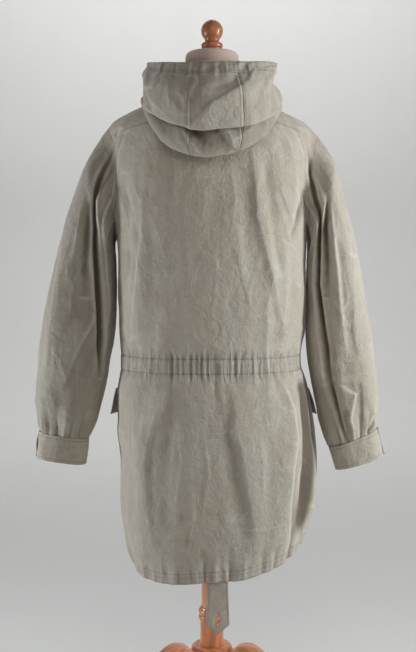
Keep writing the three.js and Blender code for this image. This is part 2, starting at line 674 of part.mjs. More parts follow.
function formPoint(bearing, level) {
  const here = bodyPoint(bearing, level);
  const alongBearing = bodyPoint(bearing + 0.5, level).sub(bodyPoint(bearing - 0.5, level));
  const alongLevel = bodyPoint(bearing, level + 0.5).sub(bodyPoint(bearing, level - 0.5));
  const inward = alongBearing.cross(alongLevel).normalize();
  here.addScaledVector(inward, CLOTH + FORM_CLEAR);
  const at = (column) => lookUp(FORM_SECTIONS, 'level', level, column);
  const sine = Math.sin(radians(bearing));
  const cosine = Math.cos(radians(bearing));
  const own = Math.hypot(sine / at('side'), cosine / at(cosine > 0 ? 'back' : 'front')) ** -1;
  const reach = Math.hypot(here.x, here.y);
  return here.multiply(new THREE.Vector3(Math.min(1, own / reach), Math.min(1, own / reach), 1));
}

function makeForm() {
  const around = spread(0, 360, FORM_COLUMNS).slice(0, -1);
  const plain = FORM_SECTIONS.map((row) => row.level).filter((level) => level < 1200);
  const upper = [1200, 1213, 1223, SHOULDER_TIP, ...YOKE_LEVELS.slice(0, -1)];
  const rings = [...plain, ...upper].map((level) => around.map((bearing) => {
    const point = formPoint(bearing, level);
    if (level < 700) point.z = level;
    return point;
  }));
  for (const { level, side, back, front } of FORM_NECK) {
    rings.push(around.map((bearing) => {
      const cosine = Math.cos(radians(bearing));
      return new THREE.Vector3(side * Math.sin(radians(bearing)), (cosine > 0 ? back : front) * cosine, level);
    }));
  }
  return loft(rings);
}

// Turned pieces: a profile of (radius, height) pairs spun round the axis
function turned(profile, columns = 28) {
  const geometry = new THREE.LatheGeometry(profile.map(([r, z]) => new THREE.Vector2(r, z)), columns);
  geometry.rotateX(Math.PI / 2);
  return geometry;
}

const arc = (radius, height, from, to, steps, bore = 0) => spread(from, to, steps).map((angle) => [
  bore + radius * Math.cos(radians(angle)), height + radius * Math.sin(radians(angle)),
]);

const NECK_CAP_PROFILE = [
  [0, NECK_CAP_FOOT + SEAM], [50, NECK_CAP_FOOT + SEAM], [51.5, NECK_CAP_FOOT + 6],
  [51, NECK_CAP_TOP - 8], [48, NECK_CAP_TOP - 3], [42, NECK_CAP_TOP - 0.6], [30, NECK_CAP_TOP], [0, NECK_CAP_TOP],
];
const FINIAL_FOOT = NECK_CAP_TOP + SEAM;
const BALL = { radius: 21, middle: 1409 };
const FINIAL_PROFILE = [
  [0, FINIAL_FOOT], [18, FINIAL_FOOT], [17.4, 1375], [20, 1377], [21, 1381], [20, 1385],
  [15, 1387.5], [13.4, 1390.5],
  ...arc(BALL.radius, BALL.middle, -48, 84, 8), [0, BALL.middle + BALL.radius],
];
const COLLAR_TOP = 282;
const COLLAR_PROFILE = [
  [POLE_RADIUS + SEAM, HUB_TOP + SEAM], [23.2, HUB_TOP + SEAM], [23.2, 254], [26, 257], [26.8, 260.5], [26, 264],
  [24.2, 266], [26, 268], [26.8, 272], [26, 276], [23.6, 279], [22.6, COLLAR_TOP], [POLE_RADIUS + SEAM, COLLAR_TOP],
  [POLE_RADIUS + SEAM, HUB_TOP + SEAM],
];
const HUB_FOOT = 128;
const HUB_PROFILE = [
  [0, HUB_FOOT], [22, HUB_FOOT], [30, HUB_FOOT + 6], [34, HUB_FOOT + 16], [HUB_RADIUS - 1, HUB_FOOT + 22],
  [HUB_RADIUS, HUB_FOOT + 26], [HUB_RADIUS, HUB_TOP - 10], [HUB_RADIUS - 1.5, HUB_TOP - 4], [HUB_RADIUS - 5, HUB_TOP - 1],
  [32, HUB_TOP], [29, HUB_TOP - 1.6], [26, HUB_TOP], [0, HUB_TOP],
];

// A leg: a sawn board in the shape of an S, its upper and lower edges as (distance from the axis, height)
const LEG_THICKNESS = 30;
const LEG_ROOT = HUB_RADIUS + SEAM;
const LEG_UPPER_EDGE = [[LEG_ROOT, 198], [62, 214], [88, 217], [118, 200], [150, 160], [182, 104], [214, 56], [244, 30], [268, 20]];
const LEG_LOWER_EDGE = [[228, 0], [214, 8], [190, 34], [160, 84], [128, 134], [100, 160], [72, 166], [LEG_ROOT, 158]];
const LEG_TOE = 272;
const LEG_BEARINGS = [60, 180, 300];

function makeLeg() {
  const vectors = (pairs) => pairs.map(([r, z]) => new THREE.Vector2(r, z));
  const shape = new THREE.Shape();
  shape.moveTo(...LEG_UPPER_EDGE[0]);
  shape.splineThru(vectors(LEG_UPPER_EDGE.slice(1)));
  shape.lineTo(LEG_TOE, 8);
  shape.lineTo(LEG_TOE - 4, 0);
  shape.lineTo(...LEG_LOWER_EDGE[0]);
  shape.splineThru(vectors(LEG_LOWER_EDGE.slice(1)));
  shape.closePath();
  const geometry = new THREE.ExtrudeGeometry(shape, {
    depth: LEG_THICKNESS, bevelEnabled: false, curveSegments: 3,
  });
  geometry.translate(0, 0, -LEG_THICKNESS / 2);
  geometry.rotateX(Math.PI / 2);
  return geometry;
}

add('back_panel', makeBack(), COTTON);
add('front_panel', makeFront(), COTTON);
add('sleeve_left', makeSleeve(LEFT_SLEEVE, 1), COTTON);
add('sleeve_right', makeSleeve(RIGHT_SLEEVE, -1), COTTON);
add('cuff_left', makeCuff(LEFT_CUFF, 1), COTTON);
add('cuff_right', makeCuff(RIGHT_CUFF, -1), COTTON);

const HOOD_SEAM_LEFT = 12;
const HOOD_SEAM_RIGHT = -15;
const HOOD_END = 178;
const HOOD_COLUMNS = {
  right: spread(-HOOD_END, HOOD_SEAM_RIGHT, 13),
  centre: spread(HOOD_SEAM_RIGHT, HOOD_SEAM_LEFT, 3),
  left: spread(HOOD_SEAM_LEFT, HOOD_END, 13),
};
const panelEnd = BAND_START - 0.0016;
for (const [side, columns] of Object.entries(HOOD_COLUMNS)) {
  add(`hood_${side}`, makeHoodPiece(columns, 0, panelEnd, HOOD_STEPS, CLOTH), COTTON);
}
const bandColumns = [...new Set(Object.values(HOOD_COLUMNS).flat())];
add('hood_band', makeHoodPiece(bandColumns, BAND_START, 1, 2, DOUBLE_CLOTH), COTTON);
add('tail_strap', makeStrap(), COTTON).position.set(STRAP.x, strapFace(), 0);
add('pocket_flap_left', makeFlap(1, FLAP_REAR_LIFT.left), COTTON);
add('pocket_flap_right', makeFlap(-1, FLAP_REAR_LIFT.right), COTTON);
add('form_torso', makeForm(), COVER);
add('neck_cap', turned(NECK_CAP_PROFILE, 24), COVER);
add('finial', turned(FINIAL_PROFILE, 16), WOOD);
add('pole', turned([[0, HUB_TOP + SEAM], [POLE_RADIUS, HUB_TOP + SEAM],
  [POLE_RADIUS, FORM_FOOT - SEAM], [0, FORM_FOOT - SEAM]], 24), WOOD);
add('pole_collar', turned(COLLAR_PROFILE, 20), WOOD);
add('hub', turned(HUB_PROFILE, 24), WOOD);
LEG_BEARINGS.forEach((bearing, i) => {
  add(`leg_${i + 1}`, makeLeg(), WOOD).rotation.z = radians(90 - bearing);
});

// Stands the part on the floor, with the origin at the middle of its box
const box = new THREE.Box3().setFromObject(smock);
smock.position.set(-(box.min.x + box.max.x) / 2, -(box.min.y + box.max.y) / 2, -box.min.z);

export default smock;
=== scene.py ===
# Anorak smock with its hood folded down the back, on a limbless dress form with a turned wooden stand.
# Lengths are in millimetres, from the pole's axis and the floor, until they become mesh points in metres.
# A bearing is an angle in degrees round that axis, 0 at the back centre and 90 at the wearer's left.
import math

import bpy
import numpy as np
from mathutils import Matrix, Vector


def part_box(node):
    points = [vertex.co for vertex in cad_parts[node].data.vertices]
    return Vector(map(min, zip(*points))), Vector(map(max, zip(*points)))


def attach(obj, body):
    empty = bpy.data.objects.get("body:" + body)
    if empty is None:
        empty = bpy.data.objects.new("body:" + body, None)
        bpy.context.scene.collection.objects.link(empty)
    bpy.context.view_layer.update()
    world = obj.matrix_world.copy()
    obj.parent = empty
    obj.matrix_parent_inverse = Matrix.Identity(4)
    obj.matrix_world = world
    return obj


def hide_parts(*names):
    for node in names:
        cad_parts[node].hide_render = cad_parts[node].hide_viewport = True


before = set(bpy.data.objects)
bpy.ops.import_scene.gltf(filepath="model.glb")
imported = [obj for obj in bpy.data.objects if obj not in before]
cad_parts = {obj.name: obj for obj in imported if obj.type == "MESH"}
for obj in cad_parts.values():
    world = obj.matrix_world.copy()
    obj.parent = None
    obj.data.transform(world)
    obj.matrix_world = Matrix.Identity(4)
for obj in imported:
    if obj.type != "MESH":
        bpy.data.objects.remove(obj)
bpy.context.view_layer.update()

MM = 0.001
POLE_LOW, POLE_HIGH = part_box("pole")
AXIS = np.array([(POLE_LOW[0] + POLE_HIGH[0]) / 2, (POLE_LOW[1] + POLE_HIGH[1]) / 2, 0.0])

# Driving sizes
CLOTH = 1.6
DOUBLE_CLOTH = 2.4
HEM = 380
WAIST = 776
ARMPIT = 1020
SHOULDER_TIP = 1229
NECK = 1300
NECK_DROP = 30
SLIT_FOOT = 1062
SLIT_HALF = 1.6
SLIT_RADIUS = 70
ARMHOLE_HALF_ANGLE = 22
MM_PER_DEGREE = 3
SEAM = 0.3

# The torso's outer face, level by level, and the power of its oval
SECTIONS = {
    "level": [380, 405, 435, 500, 575, 640, 686, 717, 748, 775, 811, 842,
              900, 960, 1014, 1060, 1120, 1180, 1215, 1231, 1248, 1264, 1283, 1300],
    "left": [164, 170, 174, 180, 180, 185, 184, 183, 179, 175, 177, 178,
             179, 180, 183, 188, 193, 198, 199, 191, 163, 130, 95, 72],
    "right": [179, 186, 197, 207, 209, 203, 197, 191, 181, 170, 174, 178,
              180, 180, 182, 186, 191, 195, 195, 183, 147, 114, 86, 70],
    "back": [151, 154, 156, 158, 156, 152, 147, 141, 133, 128, 131, 135,
             141, 146, 149, 150, 147, 140, 132, 127, 118, 107, 93, 76],
    "front": [140, 142, 144, 146, 145, 142, 138, 134, 128, 124, 127, 130,
              134, 137, 137, 134, 126, 112, 98, 90, 80, 73, 70, 66],
    "power": [2.5, 2.5, 2.5, 2.5, 2.5, 2.5, 2.4, 2.4, 2.3, 2.3, 2.3, 2.4,
              2.4, 2.4, 2.4, 2.4, 2.3, 2.2, 2.1, 2.0, 2.0, 2.0, 2.0, 2.0],
}
# How far the hem rises at each bearing, and the bearing where the yoke's seam crosses each level
HEM_LINE = {
    "bearing": [-180, -110, -72, -52, -34, -15, 0, 30, 48, 66, 90, 180],
    "rise": [46, 50, 48, 28, 12, 2, 0, -6, -4, 14, 38, 46],
}
YOKE_LINE = {"level": [1200, 1213, 1223, SHOULDER_TIP, NECK], "bearing": [74, 60, 47, 45, 46]}


def look_up(rows, key, at, column):
    """Interpolates one column of a table without overshoot."""
    x = np.asarray(rows[key], float)
    y = np.asarray(rows[column], float)
    at = np.clip(np.asarray(at, float), x[0], x[-1])
    step = np.diff(x)
    slope = np.diff(y) / step
    tangent = np.empty_like(y)
    tangent[0] = slope[0]
    tangent[-1] = slope[-1]
    product = slope[:-1] * slope[1:]
    total = slope[:-1] + slope[1:]
    safe = np.where(product > 0, total, 1.0)
    tangent[1:-1] = np.where(product > 0, 2 * product / safe, 0.0)
    i = np.clip(np.searchsorted(x, at, side="right") - 1, 0, len(x) - 2)
    t = (at - x[i]) / step[i]
    rise = 3 * t**2 - 2 * t**3
    bend = t * (1 - t) ** 2 * tangent[i] - t**2 * (1 - t) * tangent[i + 1]
    return y[i] * (1 - rise) + y[i + 1] * rise + step[i] * bend


def smooth(low, high, at):
    t = np.clip((np.asarray(at, float) - low) / (high - low), 0, 1)
    return t * t * (3 - 2 * t)


def wrap(bearing):
    return np.mod(np.asarray(bearing, float) + 180, 360) - 180


HASH = {"i": 127.1, "j": 311.7, "seed": 74.7, "scale": 43758.5453}


def noise(x, y, seed=0):
    """Smooth noise from -1 to 1 over a plane, the same on each run."""
    def corner(i, j):
        value = np.sin(i * HASH["i"] + j * HASH["j"] + seed * HASH["seed"]) * HASH["scale"]
        return 2 * (value - np.floor(value)) - 1
    i, j = np.floor(x), np.floor(y)
    s, t = x - i, y - j
    s, t = s * s * (3 - 2 * s), t * t * (3 - 2 * t)
    low = corner(i, j) * (1 - s) + corner(i + 1, j) * s
    high = corner(i, j + 1) * (1 - s) + corner(i + 1, j + 1) * s
    return low * (1 - t) + high * t


BEND, BEND_LENGTH = 0.7, 1.7


def crumple(x, y, size, seed=0):
    """Sharp-crested noise from -1 to 1, like pressed creases, with its lines bent by slower noise."""
    bends = [BEND * noise(x / size / BEND_LENGTH, y / size / BEND_LENGTH, seed + shift) for shift in (5, 9)]
    return 1 - np.abs(noise(x / size + bends[0], y / size + bends[1], seed)) * 2


def path_distance(x, y, path):
    """Distance on the unrolled cloth to a line of points.

    Also the share of the line that is passed there, and on which side of it a place lies (1 or -1)."""
    nearest = np.full(np.shape(x), np.inf)
    share = np.zeros(np.shape(x))
    side = np.ones(np.shape(x))
    last = len(path) - 1
    for k, ((x0, y0), (x1, y1)) in enumerate(zip(path, path[1:])):
        bx, by = x1 - x0, y1 - y0
        t = np.clip(((x - x0) * bx + (y - y0) * by) / (bx * bx + by * by), 0, 1)
        away = np.hypot(x - x0 - t * bx, y - y0 - t * by)
        closer = away < nearest
        share = np.where(closer, (k + t) / last, share)
        side = np.where(closer, np.sign(bx * (y - y0) - by * (x - x0)), side)
        nearest = np.minimum(nearest, away)
    return nearest, share, side


STEEP, GENTLE = 0.55, 2.0
FOLD_ROUNDING = 0.15
FOLD_END_POWER = 0.6


def folds_relief(x, y, folds, x_scale, y_scale):
    """Sum of folds, each a (height, width, kind, points) row.

    A soft fold is rounded and a crest is sharp. One that is steep on its left or right falls away gently on
    the other side, seen from outside with its points running downwards."""
    relief = np.zeros(np.shape(x))
    for height, width, kind, path in folds:
        centre = path[len(path) // 2][0]
        around = wrap(x - centre) * x_scale
        points = [((a - centre) * x_scale, b * y_scale) for a, b in path]
        away, share, side = path_distance(around, y * y_scale, points)
        u = away / width
        if kind == "soft":
            shape = np.exp(-u * u)
        elif kind == "crest":
            shape = np.exp(-u)
        else:
            steep = side if kind == "steep_left" else -side
            u = away / (width * np.where(steep > 0, STEEP, GENTLE))
            shape = np.exp(-u * np.sqrt(u * u + FOLD_ROUNDING))
        relief += height * shape * np.sin(math.pi * np.clip(share, 0.0, 1.0)) ** FOLD_END_POWER
    return relief


# Folds of the body: height, width, kind, and (bearing, level) points from the top down
BODY_FOLDS = [
    (6.5, 15, "steep_left", [(-28, 1176), (-29, 1110), (-30, 1045), (-36, 992), (-45, 912), (-56, 820)]),
    (-2.5, 16, "soft", [(-20, 1170), (-21, 1080), (-24, 1000), (-32, 920)]),
    (-5.0, 12, "soft", [(-37, 1160), (-38, 1080), (-43, 1000), (-52, 925)]),
    (5.5, 15, "steep_left", [(43, 1170), (46, 1020), (49, 965), (55, 884), (62, 800)]),
    (-5.0, 13, "soft", [(58, 1130), (60, 1010), (65, 900)]),
    (-6.0, 13, "soft", [(-72, 1120), (-62, 1050), (-54, 1000)]),
    (6.5, 16, "steep_right", [(36, 760), (37, 704), (42, 643), (44, 588), (42, 521), (40, 430)]),
    (-4.5, 16, "soft", [(27, 740), (30, 640), (32, 560), (30, 470)]),
    (6.0, 18, "steep_left", [
        (-14, 745), (-17, 690), (-15, 661), (-19, 634), (-22, 567), (-27, 485), (-29, 420)]),
    (-2.5, 15, "soft", [(-8, 700), (-12, 600), (-17, 500), (-20, 430)]),
    (9.0, 10, "steep_right", [(-51, 762), (-54, 690), (-53, 640), (-49, 588), (-48, 506), (-50, 400)]),
    (-25.0, 28, "soft", [(-74, 770), (-73, 700), (-71, 620), (-66, 540), (-63, 470), (-64, 400)]),
    (-6.0, 16, "soft", [(80, 720), (84, 600), (82, 440)]),
    (-12.0, 14, "soft", [(-86, 770), (-87, 680), (-85, 560), (-82, 430)]),
    (6.0, 16, "soft", [(150, 1170), (146, 1040), (138, 930), (128, 820)]),
    (6.0, 16, "soft", [(-148, 1170), (-144, 1040), (-138, 930), (-130, 820)]),
    (-5.0, 14, "soft", [(128, 1110), (122, 1000), (114, 880)]),
    (-5.0, 14, "soft", [(-128, 1110), (-122, 1000), (-116, 880)]),
    (7.0, 15, "steep_left", [(160, 750), (156, 650), (158, 560), (154, 430)]),
    (7.0, 15, "steep_right", [(-162, 750), (-158, 640), (-162, 540), (-160, 430)]),
    (-7.0, 15, "soft", [(140, 690), (138, 560), (140, 430)]),
    (-7.0, 15, "soft", [(-140, 690), (-144, 560), (-142, 430)]),
]
# Narrower creases
BODY_CREASES = [
    (1.5, 4, "crest", [(54, 1120), (51, 1100), (46, 1070)]),
    (2.6, 8, "steep_left", [(-45, 1106), (-50, 1066), (-58, 1026)]),
    (1.6, 6, "steep_left", [(-40, 1090), (-48, 1040), (-60, 980)]),
    (1.4, 5, "crest", [(-52, 1120), (-60, 1085), (-68, 1060)]),
    (-2.0, 8, "soft", [(63, 1110), (54, 1050), (50, 1000)]),
    (2.0, 7, "steep_right", [(67, 1100), (60, 1045), (60, 985)]),
    (2.6, 9, "steep_left", [(58, 1216), (64, 1170), (67, 1110)]),
    (2.6, 9, "steep_right", [(-58, 1216), (-64, 1170), (-67, 1110)]),
    (0.7, 3, "crest", [(16, 1114), (2, 1120), (-13, 1109)]),
    (0.7, 3, "crest", [(16, 1112), (9, 1132), (4, 1144)]),
    (0.7, 3, "crest", [(24, 1022), (17, 1010), (10, 1008)]),
    (0.8, 4, "crest", [(13, 1100), (19, 1079), (17, 1045)]),
    (1.1, 5, "steep_left", [(27, 1190), (24, 1120), (27, 1050)]),
    (0.9, 5, "steep_right", [(-13, 1150), (-16, 1080), (-13, 1020)]),
    (0.9, 4, "crest", [(5, 1010), (-3, 960), (-2, 900), (5, 840)]),
    (1.0, 5, "steep_left", [(-16, 990), (-22, 930), (-30, 870)]),
    (1.0, 5, "steep_right", [(30, 970), (26, 900), (31, 840)]),
    (1.0, 3, "crest", [(-32, 680), (-32, 600), (-32, 539), (-38, 520)]),
    (1.0, 4, "crest", [(-15, 479), (-30, 474), (-46, 471)]),
    (1.2, 4, "crest", [(-26, 675), (-33, 668), (-40, 672)]),
    (1.0, 4, "crest", [(-44, 704), (-50, 694), (-54, 690)]),
    (1.2, 5, "steep_left", [(24, 690), (20, 600), (25, 520)]),
    (1.2, 5, "steep_right", [(6, 670), (2, 580), (7, 500)]),
    (1.4, 6, "steep_left", [(56, 730), (52, 640), (55, 560)]),
    (1.4, 6, "steep_left", [(-84, 740), (-78, 640), (-82, 540)]),
    (1.2, 6, "steep_right", [(14, 590), (12, 500), (19, 410)]),
    (2.4, 8, "steep_left", [(108, 1140), (104, 1050), (112, 970)]),
    (2.4, 8, "steep_right", [(-108, 1140), (-104, 1050), (-112, 970)]),
    (2.0, 8, "steep_left", [(165, 1020), (160, 950), (149, 870)]),
    (2.0, 8, "steep_right", [(-167, 1010), (-160, 930), (-151, 860)]),
    (2.0, 8, "steep_right", [(170, 700), (172, 600), (166, 500)]),
    (1.8, 7, "steep_left", [(-172, 710), (-170, 610), (-175, 510)]),
    (1.8, 7, "steep_left", [(120, 660), (124, 560), (118, 470)]),
    (1.8, 7, "steep_right", [(-120, 660), (-116, 570), (-122, 480)]),
]
# Strong folds that cross the waist casing: bearing, how far up and down they run, height and width
WAIST_FOLDS = [
    (66, 24, 40, -1.8, 5), (31, 16, 46, -1.8, 4.5), (9, 16, 26, -1.4, 4), (-2, 16, 66, -1.6, 4),
    (-18, 34, 26, -1.4, 5), (-27, 24, 30, 1.5, 5), (-33, 34, 26, 1.7, 6), (-46, 30, 30, -1.8, 5),
    (-62, 34, 30, -2.0, 6), (48, 30, 22, 1.5, 6), (78, 26, 30, -1.8, 6), (20, 20, 34, 1.2, 5),
]
# The same at the hem casing
HEM_FOLDS = [
    (5, 26, 9, -3.6, 5), (-12, 30, 9, -3.4, 5), (-34, 34, 9, -3.6, 6), (-42, 30, 9, -3.0, 5),
    (-54, 70, 9, -5.0, 7), (-66, 52, 9, -4.0, 7), (62, 44, 9, -4.0, 8), (-2, 24, 9, 2.6, 5),
    (-22, 26, 9, 2.4, 6), (26, 22, 9, 2.0, 7), (44, 30, 9, -2.0, 8),
]


GATHER_REACH = (0.45, 1.25)
GATHER_WIDTH = (2.4, 4.2)
GATHER_LEAN = 0.02


def gather_list(count, reach, seed):
    """Uneven gathers round a drawn casing: bearing, reach up, reach down, height and width of each."""
    rng = np.random.default_rng(seed)
    places = np.arange(count) * 360 / count - 180 + rng.uniform(-1.0, 1.0, count)
    up = reach * rng.uniform(*GATHER_REACH, count)
    down = reach * rng.uniform(*GATHER_REACH, count)
    heights = rng.uniform(0.3, 1.2, count) * np.where(np.arange(count) % 2, 1, -1)
    return list(zip(places, up, down, heights, rng.uniform(*GATHER_WIDTH, count)))


def casing_relief(bearing, level, middle, half, gathers):
    """Gathers run across a casing, and fade and widen beyond it."""
    relief = np.zeros(np.shape(bearing))
    for place, up, down, height, width in gathers:
        beyond = np.maximum(level - middle - half, 0) / up + np.maximum(middle - half - level, 0) / down
        lean = GATHER_LEAN * (level - middle) * math.sin(place * 3.1)
        away = wrap(bearing - place - lean) * MM_PER_DEGREE / (width * (1 + 0.5 * np.minimum(beyond, 2)))
        relief += height * np.exp(-away * away) * np.exp(-1.1 * beyond**1.5)
    return relief


WAIST_GATHERS = gather_list(164, 15, 11) + WAIST_FOLDS
HEM_GATHERS = gather_list(96, 16, 12) + HEM_FOLDS
WAIST_STITCHES = (WAIST - 14, WAIST + 13)
HEM_STITCH = HEM + 20
WAIST_HALF, HEM_HALF = 14, 10
CASING_SWELL = 1.6
STITCH_GROOVE, STITCH_GROOVE_WIDTH = 0.6, 2.2
# The levels between which folds fade towards the waist and the hem, and the bearings between which loose
# crumples start, beside the calm middle of the back, and stop, before the two ends of the noise meet in front
WAIST_FADE = {"from": 724, "to": 762, "back_from": 790, "back_to": 834}
HEM_FADE, HEM_CALM = HEM + 80, HEM + 90
CRUMPLE_START, CRUMPLE_STOP = (24, 44), (164, 179)


def groove(level, at):
    return STITCH_GROOVE * np.exp(-((level - at) / STITCH_GROOVE_WIDTH) ** 2)


def body_relief(bearing, level):
    """How far the cloth stands out from its section."""
    x = wrap(bearing) * MM_PER_DEGREE
    relief = folds_relief(bearing, level, BODY_FOLDS + BODY_CREASES, MM_PER_DEGREE, 1.0)
    at_waist = smooth(WAIST_FADE["from"], WAIST_FADE["to"], level)
    at_waist = at_waist * (1 - smooth(WAIST_FADE["back_from"], WAIST_FADE["back_to"], level))
    relief = relief * (1 - 0.7 * at_waist) * (0.25 + 0.75 * smooth(HEM, HEM_FADE, level))
    sides = smooth(*CRUMPLE_START, np.abs(wrap(bearing)))
    upper = smooth(HEM, HEM_CALM, level) * (1 - smooth(*CRUMPLE_STOP, np.abs(wrap(bearing))))
    relief += (0.6 + 1.2 * sides) * crumple(x, level * 0.6, 66, 1) * upper
    relief += (0.4 + 0.4 * sides) * crumple(x + 40, level * 0.7, 31, 2) * upper
    relief += 1.2 * noise(x / 120, level / 210, 3) * (1 - at_waist) * upper
    relief += 1.8 * sides * noise(x / 24, level / 150, 4) * (1 - at_waist) * upper
    relief += casing_relief(bearing, level, WAIST, WAIST_HALF, WAIST_GATHERS)
    relief += casing_relief(bearing, level, HEM + HEM_HALF, HEM_HALF, HEM_GATHERS)
    casing = smooth(WAIST_STITCHES[0] - 2, WAIST_STITCHES[0] + 5, level)
    casing = casing * (1 - smooth(WAIST_STITCHES[1] - 5, WAIST_STITCHES[1] + 2, level))
    relief += CASING_SWELL * casing
    for line in (*WAIST_STITCHES, HEM_STITCH):
        relief -= groove(level, line)
    return relief


def height_of(bearing, level):
    """A level's real height: lower at the front of the neck, and following the hem's line near the hem."""
    frontness = smooth(80, 180, np.abs(wrap(bearing)))
    rise = look_up(HEM_LINE, "bearing", wrap(bearing), "rise")
    return level - NECK_DROP * frontness * smooth(1180, NECK, level) + rise * (1 - smooth(HEM, 600, level))


def body_point(bearing, level, out=0.0, relief=body_relief):
    """Points of the body's cloth for arrays of bearings and levels."""
    bearing = np.asarray(bearing, float)
    level = np.asarray(level, float) + np.zeros_like(bearing)
    sine, cosine = np.sin(np.radians(bearing)), np.cos(np.radians(bearing))
    at = {key: look_up(SECTIONS, "level", level, key) for key in ("left", "right", "back", "front", "power")}
    side = np.where(sine > 0, at["left"], at["right"])
    depth = np.where(cosine > 0, at["back"], at["front"])
    power = at["power"]
    radius = ((np.abs(sine) / side) ** power + (np.abs(cosine) / depth) ** power) ** (-1 / power)
    radius = radius + relief(bearing, level) + out
    return np.stack([radius * sine, radius * cosine, height_of(bearing, level)], -1)


ARMHOLE_MIDDLE, ARMHOLE_HALF = (ARMPIT + SHOULDER_TIP) / 2, (SHOULDER_TIP - ARMPIT) / 2


def armhole_reach(level):
    """Half the armhole's width at a level, in degrees."""
    share = (np.asarray(level) - ARMHOLE_MIDDLE) / ARMHOLE_HALF
    return ARMHOLE_HALF_ANGLE * np.sqrt(np.maximum(0, 1 - share**2))


def unit(v):
    return v / np.maximum(np.linalg.norm(v, axis=-1, keepdims=True), 1e-9)


def blur(values, cells):
    """A running mean over a grid's rows and columns."""
    for axis in (0, 1):
        reach = min(cells, (values.shape[axis] - 1) // 2)
        if reach < 1:
            continue
        pad = [(0, 0)] * values.ndim
        pad[axis] = (reach + 1, reach)
        total = np.cumsum(np.pad(values, pad, mode="edge"), axis=axis)
        high = np.take(total, np.arange(2 * reach + 1, total.shape[axis]), axis=axis)
        low = np.take(total, np.arange(0, total.shape[axis] - 2 * reach - 1), axis=axis)
        values = (high - low) / (2 * reach + 1)
    return values


def slopes(points, axis, closed):
    if not closed:
        return np.gradient(points, axis=axis)
    ring = np.concatenate([points[:, -2:-1], points, points[:, 1:2]], axis=1)
    return (ring[:, 2:] - ring[:, :-2]) / 2


PAINTED_SHADE_FROM, PAINTED_SHADE_FULL = -2.5, -12
POINT_WEAR_AND_SHADE, BROAD_WEAR_AND_SHADE = 0.42, 0.05


def make_grid(points, flat, outward, closed=False, relief=None, wear_and_shade_scale=0.9):
    """A grid of cloth with its normals and its tones: wear_and_shade, stain and painted_shade, each from 0 to
    1.

    outward(points) gives the rough outer side. wear_and_shade_scale is how strongly small ridges are worn
    pale and small valleys darkened, partly as dirt and partly as painted shade. painted_shade is painted
    shade in deep fold valleys. A relief, where there is one, tells these from the folds' own heights."""
    normals = unit(np.cross(slopes(points, 1, closed), slopes(points, 0, False)))
    turn = np.sign((normals * outward(points)).sum(-1))
    normals = normals * (1.0 if turn.sum() > 0 else -1.0)
    if relief is None:
        fine = ((points - blur(points, 2)) * normals).sum(-1) * POINT_WEAR_AND_SHADE
        broad = ((points - blur(points, 6)) * normals).sum(-1)
        painted_shade = np.zeros(points.shape[:2])
    else:
        fine = (relief - blur(relief, 1)) * wear_and_shade_scale
        broad = relief - blur(relief, 5)
        # Painted shade: deep fold valleys, from 2.5 mm down, are darkened towards near black.
        painted_shade = smooth(PAINTED_SHADE_FROM, PAINTED_SHADE_FULL, relief)
    # Small ridges worn pale; small valleys darkened, partly as dirt and partly as painted shade.
    wear_and_shade = np.clip(0.5 + fine + broad * BROAD_WEAR_AND_SHADE, 0, 1)
    tone = np.stack([wear_and_shade, np.zeros_like(wear_and_shade), painted_shade], -1)
    return {"points": points, "normals": normals, "flat": flat, "tone": tone}


def smooth_mesh(name, verts, faces, material):
    mesh = bpy.data.meshes.new(name)
    mesh.from_pydata([tuple(v) for v in verts], [], [tuple(f) for f in faces])
    mesh.update()
    mesh.polygons.foreach_set("use_smooth", [True] * len(mesh.polygons))
    mesh.materials.append(material)
    obj = bpy.data.objects.new(name, mesh)
    bpy.context.collection.objects.link(obj)
    return obj


def new_object(name, verts, faces, material):
    """A piece of the part, from points in millimetres."""
    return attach(smooth_mesh(name, np.asarray(verts) * MM + AXIS, faces, material), "root")


def joined(grids):
    """Points, normals, cloth coordinates, tones and outward quads of several grids, shared edges joined."""
    points = np.concatenate([g["points"].reshape(-1, 3) for g in grids])
    fields = [np.concatenate([g[key].reshape(len(g["points"].reshape(-1, 3)), -1) for g in grids])
              for key in ("normals", "flat", "tone")]
    quads, first = [], 0
    for g in grids:
        rows, columns = g["points"].shape[:2]
        index = np.arange(rows * columns).reshape(rows, columns)
        own = np.stack([index[:-1, :-1], index[1:, :-1], index[1:, 1:], index[:-1, 1:]], -1).reshape(-1, 4)
        corners = g["points"].reshape(-1, 3)[own]
        sides = np.cross(corners[:, 2] - corners[:, 0], corners[:, 3] - corners[:, 1])
        if (sides * g["normals"].reshape(-1, 3)[own[:, 0]]).sum() < 0:
            own = own[:, ::-1]
        quads.append(own + first)
        first += rows * columns
    _, keep, where = np.unique(np.round(points, 3), axis=0, return_index=True, return_inverse=True)
    quads = where.reshape(-1)[np.concatenate(quads)]
    return [points[keep]] + [field[keep] for field in fields] + [quads]


